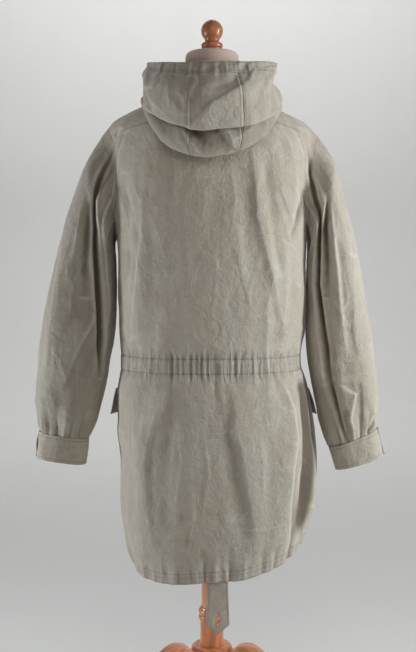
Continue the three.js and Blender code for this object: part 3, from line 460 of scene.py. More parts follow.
def cloth_wall(name, grids, thickness, material):
    """A closed cloth wall from grids of points. Its second layer lies behind the normals."""
    points, normals, flat, tone, quads = joined(grids)
    count = len(points)
    edges = np.concatenate([quads[:, [i, (i + 1) % 4]] for i in range(4)])
    edges = edges[edges[:, 0] != edges[:, 1]]
    _, place, times = np.unique(np.sort(edges, axis=1), axis=0, return_index=True, return_counts=True)
    rim = edges[place[times == 1]]
    rim_quads = np.stack([rim[:, 1], rim[:, 0], rim[:, 0] + count, rim[:, 1] + count], -1)
    faces = [[v for i, v in enumerate(face) if v != face[i - 1]]
             for face in np.concatenate([quads, quads[:, ::-1] + count, rim_quads]).tolist()]
    verts = np.concatenate([points, points - unit(normals) * thickness])
    obj = new_object(name, verts, [face for face in faces if len(face) > 2], material)
    mesh = obj.data
    # Tones as attributes; the third is painted shade in deep valleys.
    for k, key in enumerate(("wear_and_shade", "stain", "painted_shade")):
        values = np.concatenate([tone[:, k], tone[:, k]]).astype(np.float32)
        mesh.attributes.new(key, "FLOAT", "POINT").data.foreach_set("value", values)
    lining = np.repeat([0.0, 1.0], count).astype(np.float32)
    mesh.attributes.new("inside", "FLOAT", "POINT").data.foreach_set("value", lining)
    loops = np.empty(len(mesh.loops), np.int32)
    mesh.loops.foreach_get("vertex_index", loops)
    uv = np.concatenate([flat, flat]).astype(np.float32)[loops]
    mesh.uv_layers.new(name="cloth").data.foreach_set("uv", uv.ravel())
    return obj


def resample(points, normals, step):
    """Points and normals at even steps along a line, in millimetres."""
    length = np.concatenate([[0], np.cumsum(np.linalg.norm(np.diff(points, axis=0), axis=1))])
    at = np.arange(0, length[-1], step)
    places, ups = (
        np.stack([np.interp(at, length, column) for column in field.T], -1) for field in (points, normals))
    return places, unit(ups)


STITCH = 3.0
STITCH_GAP = 1.3
THREAD = 0.45
THREAD_TAPER = 0.2


def stitches(name, lines, material):
    """Rows of short thread bumps along lines of points with their normals."""
    verts, faces = [], []
    for points, normals in lines:
        places, ups = resample(points, normals, STITCH + STITCH_GAP)
        ends, _ = resample(points, normals, (STITCH + STITCH_GAP) / 2)
        for k in range(min(len(places), len(ends) // 2) - 1):
            start, end, up = places[k], ends[2 * k + 1], ups[k]
            along = unit(end - start)
            across = unit(np.cross(along, up)) * THREAD
            end = start + along * STITCH
            lift = up * THREAD
            first = len(verts)
            verts.extend([start, end])
            for share in (THREAD_TAPER, 1 - THREAD_TAPER):
                middle = start + (end - start) * share
                verts.extend([middle + across, middle + lift, middle - across, middle - lift * 0.5])
            a, b = first + 2, first + 6
            for i in range(4):
                j = (i + 1) % 4
                faces.extend([(first, a + i, a + j), (a + i, b + i, b + j, a + j), (b + i, first + 1, b + j)])
    return new_object(name, verts, faces, material)


# Materials

def node_tree(name, settings):
    """A material with one principled shader, and constants set on its sockets."""
    material = bpy.data.materials.new(name)
    material.use_nodes = True
    tree = material.node_tree
    tree.nodes.clear()
    output = tree.nodes.new("ShaderNodeOutputMaterial")
    shader = tree.nodes.new("ShaderNodeBsdfPrincipled")
    tree.links.new(shader.outputs["BSDF"], output.inputs["Surface"])
    for key, value in settings.items():
        shader.inputs[key].default_value = value
    return material, tree, shader


def add_node(tree, kind, inputs=None, **settings):
    node = tree.nodes.new(kind)
    for key, value in settings.items():
        setattr(node, key, value)
    for key, value in (inputs or {}).items():
        if isinstance(value, bpy.types.NodeSocket):
            tree.links.new(value, node.inputs[key])
        else:
            node.inputs[key].default_value = value
    return node


def scaled(tree, vector, scale):
    return add_node(tree, "ShaderNodeMapping", {"Vector": vector, "Scale": scale}).outputs["Vector"]


def math_node(tree, operation, a, b=0.5, clamp=False):
    node = add_node(tree, "ShaderNodeMath", {0: a, 1: b}, operation=operation, use_clamp=clamp)
    return node.outputs["Value"]


def ranged(tree, value, low, high, to_low=0.0, to_high=1.0):
    node = add_node(tree, "ShaderNodeMapRange", {
        "Value": value, "From Min": low, "From Max": high, "To Min": to_low, "To Max": to_high})
    return node.outputs["Result"]


def mixed(tree, factor, a, b, blend="MIX"):
    """Mixes two colours. The numbers are the Mix node's sockets for colours."""
    node = tree.nodes.new("ShaderNodeMix")
    node.data_type = "RGBA"
    node.blend_type = blend
    for place, value in ((0, factor), (6, a), (7, b)):
        if isinstance(value, bpy.types.NodeSocket):
            tree.links.new(value, node.inputs[place])
        else:
            node.inputs[place].default_value = value
    return node.outputs[2]


def noise_texture(tree, vector, scale, detail=3.0, roughness=0.55, distortion=0.0):
    node = add_node(tree, "ShaderNodeTexNoise", {
        "Vector": vector, "Scale": scale, "Detail": detail, "Roughness": roughness, "Distortion": distortion})
    return node.outputs["Fac"]


def bumped(tree, shader, layers):
    """Stacks bump layers of (height socket, distance in metres, strength) on a shader."""
    normal = None
    for height, distance, strength in layers:
        inputs = {"Height": height, "Distance": distance, "Strength": strength}
        if normal is not None:
            inputs["Normal"] = normal
        normal = add_node(tree, "ShaderNodeBump", inputs).outputs["Normal"]
    tree.links.new(normal, shader.inputs["Normal"])


COTTON_BODY = (0.52, 0.455, 0.38, 1)
COTTON_PALE = (0.56, 0.545, 0.48, 1)
COTTON_WORN = (0.68, 0.66, 0.60, 1)
# Brown of soiled patches, also used to darken small valleys, partly as dirt and partly as painted shade.
COTTON_SOIL_AND_SHADE = (0.27, 0.225, 0.165, 1)
# The inner face's colour, darker and greener: painted shade with a greenish reflected light.
COTTON_INSIDE_PAINTED_SHADE = (0.40, 0.395, 0.33, 1)
COTTON_STAIN = (0.36, 0.22, 0.14, 1)
# Near black brown: painted shade in deep fold valleys, the hood's tuck and its lower sack.
COTTON_PAINTED_SHADE = (0.10, 0.072, 0.048, 1)
WEAVE_SCALE = 1500 / math.pi


def cotton_material(name, tint=1.0):
    """Washed plain-weave cotton: blotched, stained, with pressed lines and pale worn ridges.

    Small valleys are darker, partly as dirt and partly as painted shade; deep fold valleys are near black and
    the inner face darker and greener, both as painted shade, the inner face with a greenish reflected light.
    """
    material, tree, shader = node_tree(name, {
        "Roughness": 0.86, "Specular IOR Level": 0.22, "Sheen Weight": 0.22, "Sheen Roughness": 0.45,
        "Sheen Tint": (0.92, 0.90, 0.84, 1)})
    place = add_node(tree, "ShaderNodeTexCoord").outputs["Object"]
    cloth = add_node(tree, "ShaderNodeUVMap", uv_map="cloth").outputs["UV"]
    wear_and_shade, stain, painted_shade, inside = (
        add_node(tree, "ShaderNodeAttribute", attribute_name=key).outputs["Fac"]
        for key in ("wear_and_shade", "stain", "painted_shade", "inside"))

    blotch = noise_texture(tree, place, 7.0, 4.0, 0.6, 0.4)
    mottle = noise_texture(tree, place, 42.0, 4.0, 0.65, 0.3)
    run = noise_texture(tree, scaled(tree, place, (34, 34, 3.4)), 1.0, 4.0, 0.6, 0.5)
    slub = noise_texture(tree, scaled(tree, cloth, (900, 60, 1)), 1.0, 2.0)
    streak = noise_texture(tree, scaled(tree, cloth, (60, 900, 1)), 1.0, 2.0)
    pressed = add_node(tree, "ShaderNodeTexVoronoi", {"Vector": place, "Scale": 13.0, "Detail": 0.0},
                       feature="DISTANCE_TO_EDGE").outputs["Distance"]
    bent = mixed(tree, 0.12, place, add_node(tree, "ShaderNodeTexNoise", {
        "Vector": place, "Scale": 9.0, "Detail": 2.0}).outputs["Color"])
    cracks = add_node(tree, "ShaderNodeTexVoronoi", {"Vector": bent, "Scale": 15.0},
                      feature="DISTANCE_TO_EDGE").outputs["Distance"]
    crack_line = ranged(tree, cracks, 0.0, 0.03, 1.0, 0.0)
    crack_patch = ranged(tree, noise_texture(tree, place, 4.5, 2.0), 0.46, 0.62)
    crack = math_node(tree, "MULTIPLY", crack_line, crack_patch)
    contour = noise_texture(tree, place, 15.0, 3.0, 0.5, 1.6)
    contour = math_node(tree, "ABSOLUTE", math_node(tree, "SUBTRACT", contour, 0.5))
    contour_patch = ranged(tree, noise_texture(tree, place, 8.0, 2.0), 0.42, 0.60)
    contour = math_node(tree, "MULTIPLY", ranged(tree, contour, 0.0, 0.016, 1.0, 0.0), contour_patch)

    body = tuple(c * tint for c in COTTON_BODY[:3]) + (1,)
    colour = body
    for value, low, high, share, shade in (
            (blotch, 0.3, 0.7, 0.35, COTTON_PALE), (mottle, 0.35, 0.75, 0.22, COTTON_SOIL_AND_SHADE),
            (run, 0.50, 0.72, 0.38, COTTON_WORN), (run, 0.48, 0.26, 0.20, COTTON_SOIL_AND_SHADE),
            # Small ridges pale as wear; small valleys darker, partly as dirt and partly as painted shade.
            (wear_and_shade, 0.57, 0.95, 0.6, COTTON_WORN), (wear_and_shade, 0.43, 0.05, 0.5, COTTON_SOIL_AND_SHADE),
            (crack, 0.0, 1.0, 0.16, COTTON_WORN), (contour, 0.0, 1.0, 0.26, COTTON_WORN),
            # Painted shade: deep valleys, the hood's tuck and its lower sack darkened to near black brown.
            (painted_shade, 0.0, 1.0, 0.88, COTTON_PAINTED_SHADE), (stain, 0.0, 1.0, 0.8, COTTON_STAIN),
            # The inner face painted darker and greener, as painted shade with a greenish reflected light.
            (inside, 0.0, 1.0, 1.0, COTTON_INSIDE_PAINTED_SHADE)):
        colour = mixed(tree, ranged(tree, value, low, high, 0.0, share), colour, shade)
    fleck = ranged(tree, slub, 0.3, 0.75, 0.93, 1.06)
    weave_shade = math_node(tree, "MULTIPLY", fleck, ranged(tree, streak, 0.3, 0.75, 0.95, 1.05))
    shade = add_node(tree, "ShaderNodeCombineColor", dict.fromkeys(("Red", "Green", "Blue"), weave_shade))
    colour = mixed(tree, 1.0, colour, shade.outputs["Color"], "MULTIPLY")
    tree.links.new(colour, shader.inputs["Base Color"])

    height = add_node(tree, "ShaderNodeSeparateXYZ", {"Vector": cloth}).outputs["Y"]
    near_waist = ranged(tree, math_node(tree, "ABSOLUTE", math_node(tree, "SUBTRACT", height, WAIST * MM)),
                        0.014, 0.034, 1.0, 0.0)
    pucker = noise_texture(tree, scaled(tree, cloth, (125, 16, 1)), 1.0, 4.0, 0.65, 1.2)
    pucker = math_node(tree, "MULTIPLY", near_waist, math_node(tree, "SUBTRACT", pucker, 0.5))
    waves = []
    for direction in ("X", "Y"):
        waves.append(add_node(tree, "ShaderNodeTexWave", {
            "Vector": cloth, "Scale": WEAVE_SCALE, "Distortion": 0.4, "Detail": 1.0},
            wave_type="BANDS", bands_direction=direction).outputs["Fac"])
    weave = math_node(tree, "MAXIMUM", waves[0], waves[1])
    fuzz = noise_texture(tree, place, 700.0, 2.0)
    wrinkle = noise_texture(tree, place, 50.0, 5.0, 0.62, 0.6)
    crinkle = noise_texture(tree, scaled(tree, place, (1, 1, 0.6)), 150.0, 4.0, 0.6, 0.8)
    bumped(tree, shader, [
        (pucker, 0.010, 0.75), (wrinkle, 0.0042, 0.7), (crinkle, 0.0011, 0.6), (contour, 0.0008, 0.5),
        (crack_line, 0.0005, 0.15), (pressed, 0.004, 0.08), (weave, 0.00012, 0.5), (fuzz, 0.00015, 0.4)])
    return material


def thread_material():
    material, tree, shader = node_tree("cotton_thread", {"Roughness": 0.75, "Sheen Weight": 0.15})
    place = add_node(tree, "ShaderNodeTexCoord").outputs["Object"]
    shade = noise_texture(tree, place, 60.0, 2.0)
    colour = mixed(tree, shade, (0.22, 0.18, 0.13, 1), (0.36, 0.31, 0.24, 1))
    tree.links.new(colour, shader.inputs["Base Color"])
    bumped(tree, shader, [(noise_texture(tree, place, 1800.0, 1.0), 0.0001, 0.5)])
    return material


def cover_material():
    """The form's fine jersey cover."""
    material, tree, shader = node_tree("form_cover", {"Roughness": 0.8, "Sheen Weight": 0.3})
    place = add_node(tree, "ShaderNodeTexCoord").outputs["Object"]
    knit = add_node(tree, "ShaderNodeTexWave", {
        "Vector": place, "Scale": 260.0, "Distortion": 1.2, "Detail": 1.0},
        wave_type="BANDS", bands_direction="Z").outputs["Fac"]
    blotch = noise_texture(tree, place, 24.0, 3.0)
    colour = mixed(tree, blotch, (0.74, 0.56, 0.48, 1), (0.84, 0.66, 0.58, 1))
    colour = mixed(tree, ranged(tree, knit, 0.2, 0.8, 0.0, 0.18), colour, (0.40, 0.28, 0.21, 1))
    tree.links.new(colour, shader.inputs["Base Color"])
    bumped(tree, shader, [(blotch, 0.0008, 0.3), (knit, 0.0002, 0.5)])
    return material


WOOD_DARK, WOOD_PALE = (0.62, 0.19, 0.07), (0.88, 0.36, 0.155)


def wood_material(name, along, shift, tint=1.0):
    """Varnished pale hardwood, its grain running along one axis of the part's frame."""
    material, tree, shader = node_tree(name, {"Coat Weight": 0.55, "Coat Roughness": 0.14})
    place = add_node(tree, "ShaderNodeTexCoord").outputs["Object"]
    across, lengthways = 34.0, 3.2
    scale = tuple(lengthways if axis == along else across for axis in "XYZ")
    grain_place = add_node(tree, "ShaderNodeMapping", {
        "Vector": place, "Location": (shift, shift * 0.7, shift * 1.3), "Scale": scale}).outputs["Vector"]
    broad = noise_texture(tree, grain_place, 1.0, 5.0, 0.6, 0.8)
    rings = add_node(tree, "ShaderNodeTexWave", {
        "Vector": grain_place, "Scale": 0.9, "Distortion": 5.0, "Detail": 3.0, "Detail Scale": 1.2},
        wave_type="BANDS", bands_direction="DIAGONAL").outputs["Fac"]
    pores = noise_texture(tree, scaled(tree, grain_place, (9, 9, 9)), 2.0, 3.0, 0.7)
    dark, pale = (tuple(c * tint for c in shade) + (1,) for shade in (WOOD_DARK, WOOD_PALE))
    colour = mixed(tree, broad, dark, pale)
    colour = mixed(tree, ranged(tree, rings, 0.25, 0.85, 0.0, 0.55), colour, (0.38, 0.12, 0.044, 1))
    colour = mixed(tree, ranged(tree, pores, 0.58, 0.72, 0.0, 0.5), colour, (0.13, 0.045, 0.018, 1))
    rubbed = ranged(tree, noise_texture(tree, place, 11.0, 3.0), 0.5, 0.75, 0.0, 0.4)
    colour = mixed(tree, rubbed, colour, (0.60, 0.31, 0.15, 1))
    tree.links.new(colour, shader.inputs["Base Color"])
    tree.links.new(ranged(tree, broad, 0.3, 0.7, 0.30, 0.46), shader.inputs["Roughness"])
    bumped(tree, shader, [(rings, 0.0003, 0.25), (pores, 0.0002, 0.3)])
    return material


def stage_material():
    material, tree, shader = node_tree("stage_paper", {"Roughness": 0.9})
    place = add_node(tree, "ShaderNodeTexCoord").outputs["Object"]
    colour = mixed(tree, noise_texture(tree, place, 3.0), (0.74, 0.735, 0.72, 1), (0.78, 0.775, 0.76, 1))
    tree.links.new(colour, shader.inputs["Base Color"])
    return material


cotton = cotton_material("cotton_smock")
# Darker copies of the cotton: one for the band, and one for the left sleeve as painted shade, as that sleeve
# turns from the light.
cotton_band = cotton_material("cotton_band", 0.76)
cotton_shaded = cotton_material("cotton_sleeve_left_painted_shade", 0.80)
thread = thread_material()
cover = cover_material()
wood_upright = wood_material("wood_upright", "Z", 0.0)


# Body: back and front panels

CLOTH_RADIUS = 185
BODY_RADIUS = 180


def unrolled(bearing, level):
    """Cloth coordinates in metres."""
    return np.stack([np.radians(bearing) * CLOTH_RADIUS * MM, level * MM], -1)


def away_from_axis(points):
    return unit(points * [1, 1, 0])


COLUMN_STEP = 2.9
FRONT_COLUMN_STEP = 3.6
ROW_STEP = 4.6
SEAM_ANGLE = math.degrees(SEAM / 2 / BODY_RADIUS)
ROWS_AT_STITCHES = (-3.6, -2.2, -1.1, 0, 1.1, 2.2, 3.6)
NEAREST_ROW = 1.4
ARMHOLE_ROWS = 57
TAB_COLUMNS = 44


def body_levels(low, high):
    """Row levels, closer together beside the stitch lines."""
    plain = np.linspace(low, high, max(2, round((high - low) / ROW_STEP)) + 1)
    lines = [*WAIST_STITCHES, HEM_STITCH]
    close = np.array([line + offset for line in lines for offset in ROWS_AT_STITCHES])
    close = close[(close > low) & (close < high)]
    apart = np.abs(plain[:, None] - close[None]).min(1)
    ends = np.isin(plain, (low, high))
    return np.unique(np.concatenate([plain[(apart > NEAREST_ROW) | ends], close]))


def armhole_levels(low, high):
    """Row levels between two heights, closer together towards the ends of the armhole's oval."""
    levels = ARMHOLE_MIDDLE - ARMHOLE_HALF * np.cos(np.linspace(0, math.pi, ARMHOLE_ROWS))
    levels = levels[(levels > low + 0.05) & (levels < high - 0.05)]
    return np.concatenate([[low], levels, [high]])


def row_grid(levels, edges, columns):
    """Bearings and levels of a grid whose rows run between two edges."""
    share = np.linspace(0, 1, columns + 1)
    bearing = np.stack([start + (stop - start) * share for start, stop in edges])
    level = np.repeat(np.asarray(levels, float)[:, None], columns + 1, axis=1)
    return bearing, level


def body_grid(bearing, level):
    relief = body_relief(bearing, level)
    points = body_point(bearing, level, relief=lambda b, z: relief)
    casing = np.exp(-((level - WAIST) / 26) ** 2)
    grid = make_grid(points, unrolled(bearing, level), away_from_axis, relief=relief, wear_and_shade_scale=0.9 - 0.25 * casing)
    grid["tone"][..., 1] = stain_map(bearing, level)
    return grid


def front_grid(bearing, level):
    """A grid of the front, whose cloth coordinates run on across its centre."""
    grid = body_grid(bearing, level)
    grid["flat"] = unrolled(np.mod(bearing, 360), level)
    return grid


# Small stains: bearing, level, size and strength
STAINS = [(16, 461, 7, 0.8), (6, 434, 8, 0.7), (20.3, 504, 6, 0.7), (34.8, 455, 6, 0.6), (-70, 587, 5, 0.5),
          (19.4, 1079, 4, 0.35)]


def stain_map(bearing, level):
    """How strongly each place is stained."""
    value = np.zeros(np.shape(bearing))
    for b, z, size, strength in STAINS:
        away = np.hypot(wrap(bearing - b) * MM_PER_DEGREE, (level - z) * 0.7) / size
        value = np.maximum(value, strength * np.exp(-away * away))
    return value


def yoke_edge(level):
    return float(look_up(YOKE_LINE, "level", level, "bearing"))


def back_edge(level):
    """The back's side at a level: the side seam, then the armhole, then the yoke's seam."""
    if level < ARMPIT:
        return 90 - SEAM_ANGLE
    if level < YOKE_LINE["level"][0]:
        return 90 - SEAM_ANGLE - float(armhole_reach(level))
    return yoke_edge(level)


def front_edge(level):
    return 90 + SEAM_ANGLE + float(armhole_reach(level))


def make_back():
    levels = np.unique(np.concatenate([
        body_levels(HEM, ARMPIT), armhole_levels(ARMPIT, YOKE_LINE["level"][0]),
        np.linspace(YOKE_LINE["level"][0], SHOULDER_TIP, 14), np.linspace(SHOULDER_TIP, NECK, 18)]))
    edges = [(-back_edge(z), back_edge(z)) for z in levels]
    bearing, level = row_grid(levels, edges, round(2 * 90 * MM_PER_DEGREE / COLUMN_STEP))
    return cloth_wall("back_cloth", [body_grid(bearing, level)], CLOTH, cotton)


YOKE_GAP = 0.45


def make_front():
    """Both halves, each below the shoulder, behind the armhole, and over the shoulder to the neck."""
    slit = math.degrees(SLIT_HALF / SLIT_RADIUS)
    columns = round(90 * MM_PER_DEGREE / FRONT_COLUMN_STEP)
    lower = np.concatenate([
        body_levels(HEM, ARMPIT), armhole_levels(ARMPIT, SLIT_FOOT)[1:],
        armhole_levels(SLIT_FOOT, SHOULDER_TIP)[1:]])
    tab = armhole_levels(YOKE_LINE["level"][0], SHOULDER_TIP)
    over = np.linspace(SHOULDER_TIP, NECK, 20)
    tip = front_edge(SHOULDER_TIP)
    centre = [180 if z <= SLIT_FOOT else 180 - slit for z in lower]
    behind = [yoke_edge(z) + YOKE_GAP for z in tab]
    behind = [(y, max(y, 90 - SEAM_ANGLE - float(armhole_reach(z)))) for y, z in zip(behind, tab)]
    behind[-1] = (behind[-1][0], tip)
    grids = []
    for mirror in (1, -1):
        bearing, level = row_grid(lower, [(front_edge(z), c) for z, c in zip(lower, centre)], columns)
        grids.append(front_grid(mirror * bearing, level))
        bearing, level = row_grid(tab, behind, TAB_COLUMNS)
        grids.append(front_grid(mirror * bearing, level))
        first, level = row_grid(over, [(yoke_edge(z) + YOKE_GAP, tip) for z in over], TAB_COLUMNS)
        second, _ = row_grid(over, [(tip, 180 - slit) for _ in over], columns)
        bearing = np.concatenate([first, second[:, 1:]], axis=1)
        level = np.concatenate([level, np.repeat(level[:, :1], columns, axis=1)], axis=1)
        grids.append(front_grid(mirror * bearing, level))
    return cloth_wall("front_cloth", grids, CLOTH, cotton)


back = make_back()
front = make_front()


# Sleeves and cuffs

# Each ring of a sleeve: the places of its outer and inner edge, its half depth, and how far it lies behind
SLEEVE_KEYS = ("outX", "outZ", "inX", "inZ", "depth", "behind")
LEFT_SLEEVE = [
    (212, 1219, 191, 1017, 76, 4), (230, 1182, 190, 1010, 78, 3), (248, 1138, 190, 1002, 78, 2),
    (266, 1091, 190, 992, 76, 0), (286, 1029, 189, 972, 73, -2), (304, 967, 188, 942, 70, -4),
    (318, 904, 187, 898, 67, -5), (331, 842, 189, 842, 64, -6), (341, 779, 200, 777, 60, -7),
    (346, 720, 213, 714, 54, -8), (344, 676, 226, 666, 47, -8), (339, 635, 243, 622, 34, -8)]
RIGHT_SLEEVE = [
    (208, 1216, 190, 1017, 76, 4), (226, 1178, 188, 1010, 78, 3), (241, 1134, 188, 1002, 78, 2),
    (254, 1091, 188, 992, 76, 0), (270, 1029, 187, 972, 73, -2), (285, 967, 186, 942, 70, -4),
    (297, 904, 185, 896, 67, -5), (308, 842, 185, 836, 64, -6), (316, 782, 190, 766, 60, -7),
    (325, 724, 205, 698, 54, -8), (328, 680, 217, 648, 47, -8), (324, 640, 232, 604, 34, -8)]
LEFT_CUFF = [(340, 634.4, 243, 621.4, 34, -8), (346, 583, 250, 569, 34, -8)]
RIGHT_CUFF = [(325, 639.4, 232, 603.4, 34, -8), (339, 587, 246, 558, 34, -8)]
SECTION_POWER = 2.6
CUFF_PLEATS = 7
# Folds of each sleeve: height, width, kind, and (angle, ring) points, 0 outer, 90 back, 180 inner
UNDER_CREASES = [
    (-6.0, 14, "soft", [(-116, 2), (-113, 6), (-110, 10)]),
    (4.0, 14, "steep_left", [(-70, 3), (-78, 7), (-80, 10)]),
    (2.0, 7, "steep_left", [(-60, 3), (-80, 5), (-90, 8)]),
    (2.0, 7, "steep_right", [(-110, 6), (-90, 7.4), (-80, 9.0)]),
]
LEFT_CREASES = [
    (-19.0, 7, "soft", [(55, 0), (80, 1.5), (105, 3), (120, 5), (130, 7), (145, 8.5)]),
    (-10.0, 14, "soft", [(75, 2), (90, 4), (100, 6)]),
    (6.0, 9, "steep_left", [(80, 0), (110, 0.5), (130, 3.5), (145, 7)]),
    (4.5, 7, "steep_right", [(70, 0), (140, 0), (130, 3)]),
    (-6.0, 7, "soft", [(85, 0), (130, 0), (185, 2), (175, 5.5)]),
    (5.0, 11, "steep_right", [(120, 6.5), (100, 7.5), (80, 9)]),
    (-3.5, 12, "soft", [(135, 7), (110, 8.5)]),
    (4.0, 16, "steep_left", [(40, 3.5), (50, 6), (55, 8.5)]),
    (1.6, 5, "steep_left", [(60, 2.5), (70, 4), (70, 5)]),
    (1.4, 4, "crest", [(55, 7.5), (75, 8), (95, 9)]),
    (1.2, 4, "crest", [(100, 4), (80, 5.5), (80, 7)]),
] + UNDER_CREASES
RIGHT_CREASES = [
    (-20.0, 7, "soft", [
        (55, 0), (85, 0.5), (105, 1), (120, 2), (130, 3.5), (135, 5.5), (120, 7.5), (120, 9.5)]),
    (-9.0, 5, "soft", [(120, 8.5), (115, 10), (110, 11)]),
    (-14.0, 13, "soft", [(85, 1.5), (105, 3), (115, 6)]),
    (5.0, 7, "soft", [(100, 0), (140, 0), (160, 4), (155, 6)]),
    (6.0, 12, "steep_left", [(80, 1.5), (90, 4), (90, 6.5), (85, 8)]),
    (4.5, 6, "steep_left", [(110, 8.5), (80, 9), (95, 10), (90, 10.5)]),
    (-4.0, 7, "soft", [(105, 9.5), (100, 11)]),
    (-5.0, 5, "soft", [(40, 10), (60, 11)]),
    (3.0, 7, "steep_right", [(65, 8.5), (70, 10.5)]),
    (1.5, 5, "crest", [(105, 6), (75, 7)]),
    (1.5, 5, "crest", [(80, 5), (75, 6), (85, 6.5)]),
    (1.4, 5, "steep_right", [(65, 6), (70, 7), (65, 8)]),
] + UNDER_CREASES
MM_PER_TURN_DEGREE = 1.2
MM_PER_RING = 55
SLEEVE_RADIUS = 70
# Pleats into the cuff: angle, width and height
PLEATS = [(8, 4, -2.2), (28, 4, -2.6), (44, 3.5, 1.8), (58, 4, -2.8), (76, 4, -2.8), (92, 4, 2.0),
          (106, 4, -3.0),
          (126, 4, -2.4), (150, 5, -2.0), (-20, 4, -2.4), (-44, 4, -2.6), (-66, 4, 2.0), (-84, 4, -2.8),
          (-108, 4, -2.8), (-132, 5, -2.2)]


def sleeve_relief(angle, ring, creases, seed):
    """How far a sleeve's cloth stands out from its section."""
    relief = folds_relief(angle, ring, creases, MM_PER_TURN_DEGREE, MM_PER_RING)
    near_cuff = smooth(8, 10.5, ring) * (1 - 0.6 * smooth(10.6, 11, ring))
    relief += 2.4 * near_cuff * np.cos(np.radians(CUFF_PLEATS * angle + 20))
    turn = np.radians(angle)
    x, y = SLEEVE_RADIUS * np.cos(turn), SLEEVE_RADIUS * np.sin(turn)
    tight = smooth(9.2, 11, ring)
    for place, width, height in PLEATS:
        away = wrap(angle - place) * MM_PER_TURN_DEGREE / (width * (1.6 - 0.6 * tight))
        relief += height * tight * np.exp(-away * away)
    quiet = smooth(-0.2, 0.8, ring)
    relief += quiet * 1.3 * crumple(x + y * 0.6, ring * MM_PER_RING * 0.6, 58, seed)
    relief += quiet * 0.7 * crumple(x - y, ring * MM_PER_RING * 0.7, 29, seed + 1)
    return relief + quiet * 2.0 * noise((x + y) / 60, ring * MM_PER_RING / 110, seed + 2)


def tube_point(rows, side, angle, ring, out):
    """Points of a sleeve or cuff between table rows, moved out across the ring."""
    table = {"ring": list(range(len(rows)))}
    table.update({key: [row[k] for row in rows] for k, key in enumerate(SLEEVE_KEYS)})
    at = {key: look_up(table, "ring", ring, key) for key in SLEEVE_KEYS}
    zero = np.zeros(np.shape(angle))
    outer = np.stack([side * at["outX"] + zero, zero, at["outZ"] + zero], -1)
    inner = np.stack([side * at["inX"] + zero, zero, at["inZ"] + zero], -1)
    middle, half = (outer + inner) / 2, (outer - inner) / 2
    cosine, sine = np.cos(np.radians(angle)), np.sin(np.radians(angle))
    radius = (np.abs(cosine) ** SECTION_POWER + np.abs(sine) ** SECTION_POWER) ** (-1 / SECTION_POWER)
    mean = (np.linalg.norm(half, axis=-1) + at["depth"]) / 2
    points = middle + half * (cosine * radius * (1 + out / mean))[..., None]
    points[..., 1] = at["behind"] + sine * radius * (at["depth"] + out)
    return points


def armhole_point(side, angle, inset):
    """The armhole's oval on the body, moved in across its opening."""
    reach = ARMHOLE_HALF_ANGLE - inset / MM_PER_DEGREE
    bearing = side * (90 - reach * np.sin(np.radians(angle)))
    return body_point(bearing, ARMHOLE_MIDDLE + (ARMHOLE_HALF - inset) * np.cos(np.radians(angle)))


HEAD_END = 1.7
HEAD_SHARES = np.linspace(0, 1, 35)[:-1]
HEAD_INSET = 0.25
HEAD_LEAVING, HEAD_MEETING = 0.8, 0.9
SLEEVE_COLUMNS = 168
TIGHT_RING = 9


def sleeve_head(side, around, first, second):
    """Rows from the armhole to a sleeve ring, leaving the body and meeting the sleeve without a corner."""
    start = armhole_point(side, around, HEAD_INSET)
    leaving = unit(start - armhole_point(side, around, -6.0))
    reach = np.linalg.norm(first - start, axis=-1, keepdims=True)
    meeting = unit(second - first) * reach
    t = HEAD_SHARES[:, None, None]
    rise = 3 * t**2 - 2 * t**3
    return (start * (1 - rise) + first * rise + leaving * reach * HEAD_LEAVING * t * (1 - t) ** 2
            - meeting * HEAD_MEETING * t**2 * (1 - t))


def make_sleeve(name, rows, side, creases, seed, material):
    around = np.linspace(0, 360, SLEEVE_COLUMNS + 1)
    rings = np.concatenate([
        np.linspace(HEAD_END, TIGHT_RING, 96)[:-1], np.linspace(TIGHT_RING, len(rows) - 1, 44)])
    angle, ring = np.meshgrid(around, rings)
    relief = sleeve_relief(angle, ring, creases, seed)
    relief[:, -1] = relief[:, 0]
    sleeve = tube_point(rows, side, angle, ring, relief)
    head = sleeve_head(side, around, sleeve[0], sleeve[1])
    wide, tall = np.meshgrid(around, HEAD_SHARES * HEAD_END)
    loose = np.sin(math.pi * np.clip(tall / HEAD_END, 0, 1) * 0.5)
    head_relief = sleeve_relief(wide, tall, creases, seed)
    head_relief[:, -1] = head_relief[:, 0]
    centre = head.mean(1, keepdims=True)
    head = head + unit(head - centre) * ((head_relief - relief[:1]) * loose * (1 - loose) * 2)[..., None]
    head[:, -1] = head[:, 0]
    points = np.concatenate([head, sleeve])
    length = np.concatenate([HEAD_SHARES * HEAD_END, rings])[:, None] * MM_PER_RING * MM
    flat = np.stack(np.broadcast_arrays(np.radians(around)[None] * SLEEVE_RADIUS * MM, length), -1)
    middle = points.mean(1, keepdims=True)
    whole_relief = np.concatenate([head_relief, relief])
    grid = make_grid(points, flat, lambda p: p - middle, closed=True, relief=whole_relief)
    return cloth_wall(name, [grid], CLOTH, material), grid


sleeve_left, sleeve_left_grid = make_sleeve(
    "sleeve_left_cloth", LEFT_SLEEVE, 1, LEFT_CREASES, 21, cotton_shaded)
sleeve_right, sleeve_right_grid = make_sleeve(
    "sleeve_right_cloth", RIGHT_SLEEVE, -1, RIGHT_CREASES, 31, cotton)

CUFF_LAP = {"from": -14, "to": 364, "ramp_from": 326, "ramp_to": 338, "lift": DOUBLE_CLOTH + 0.5}


CUFF_SIZE = {"wide": 0.9, "tall": 52}
CUFF_STITCHES = {"shares": ((0.12, 0.7), (0.90, 0.6)), "width": 0.035}


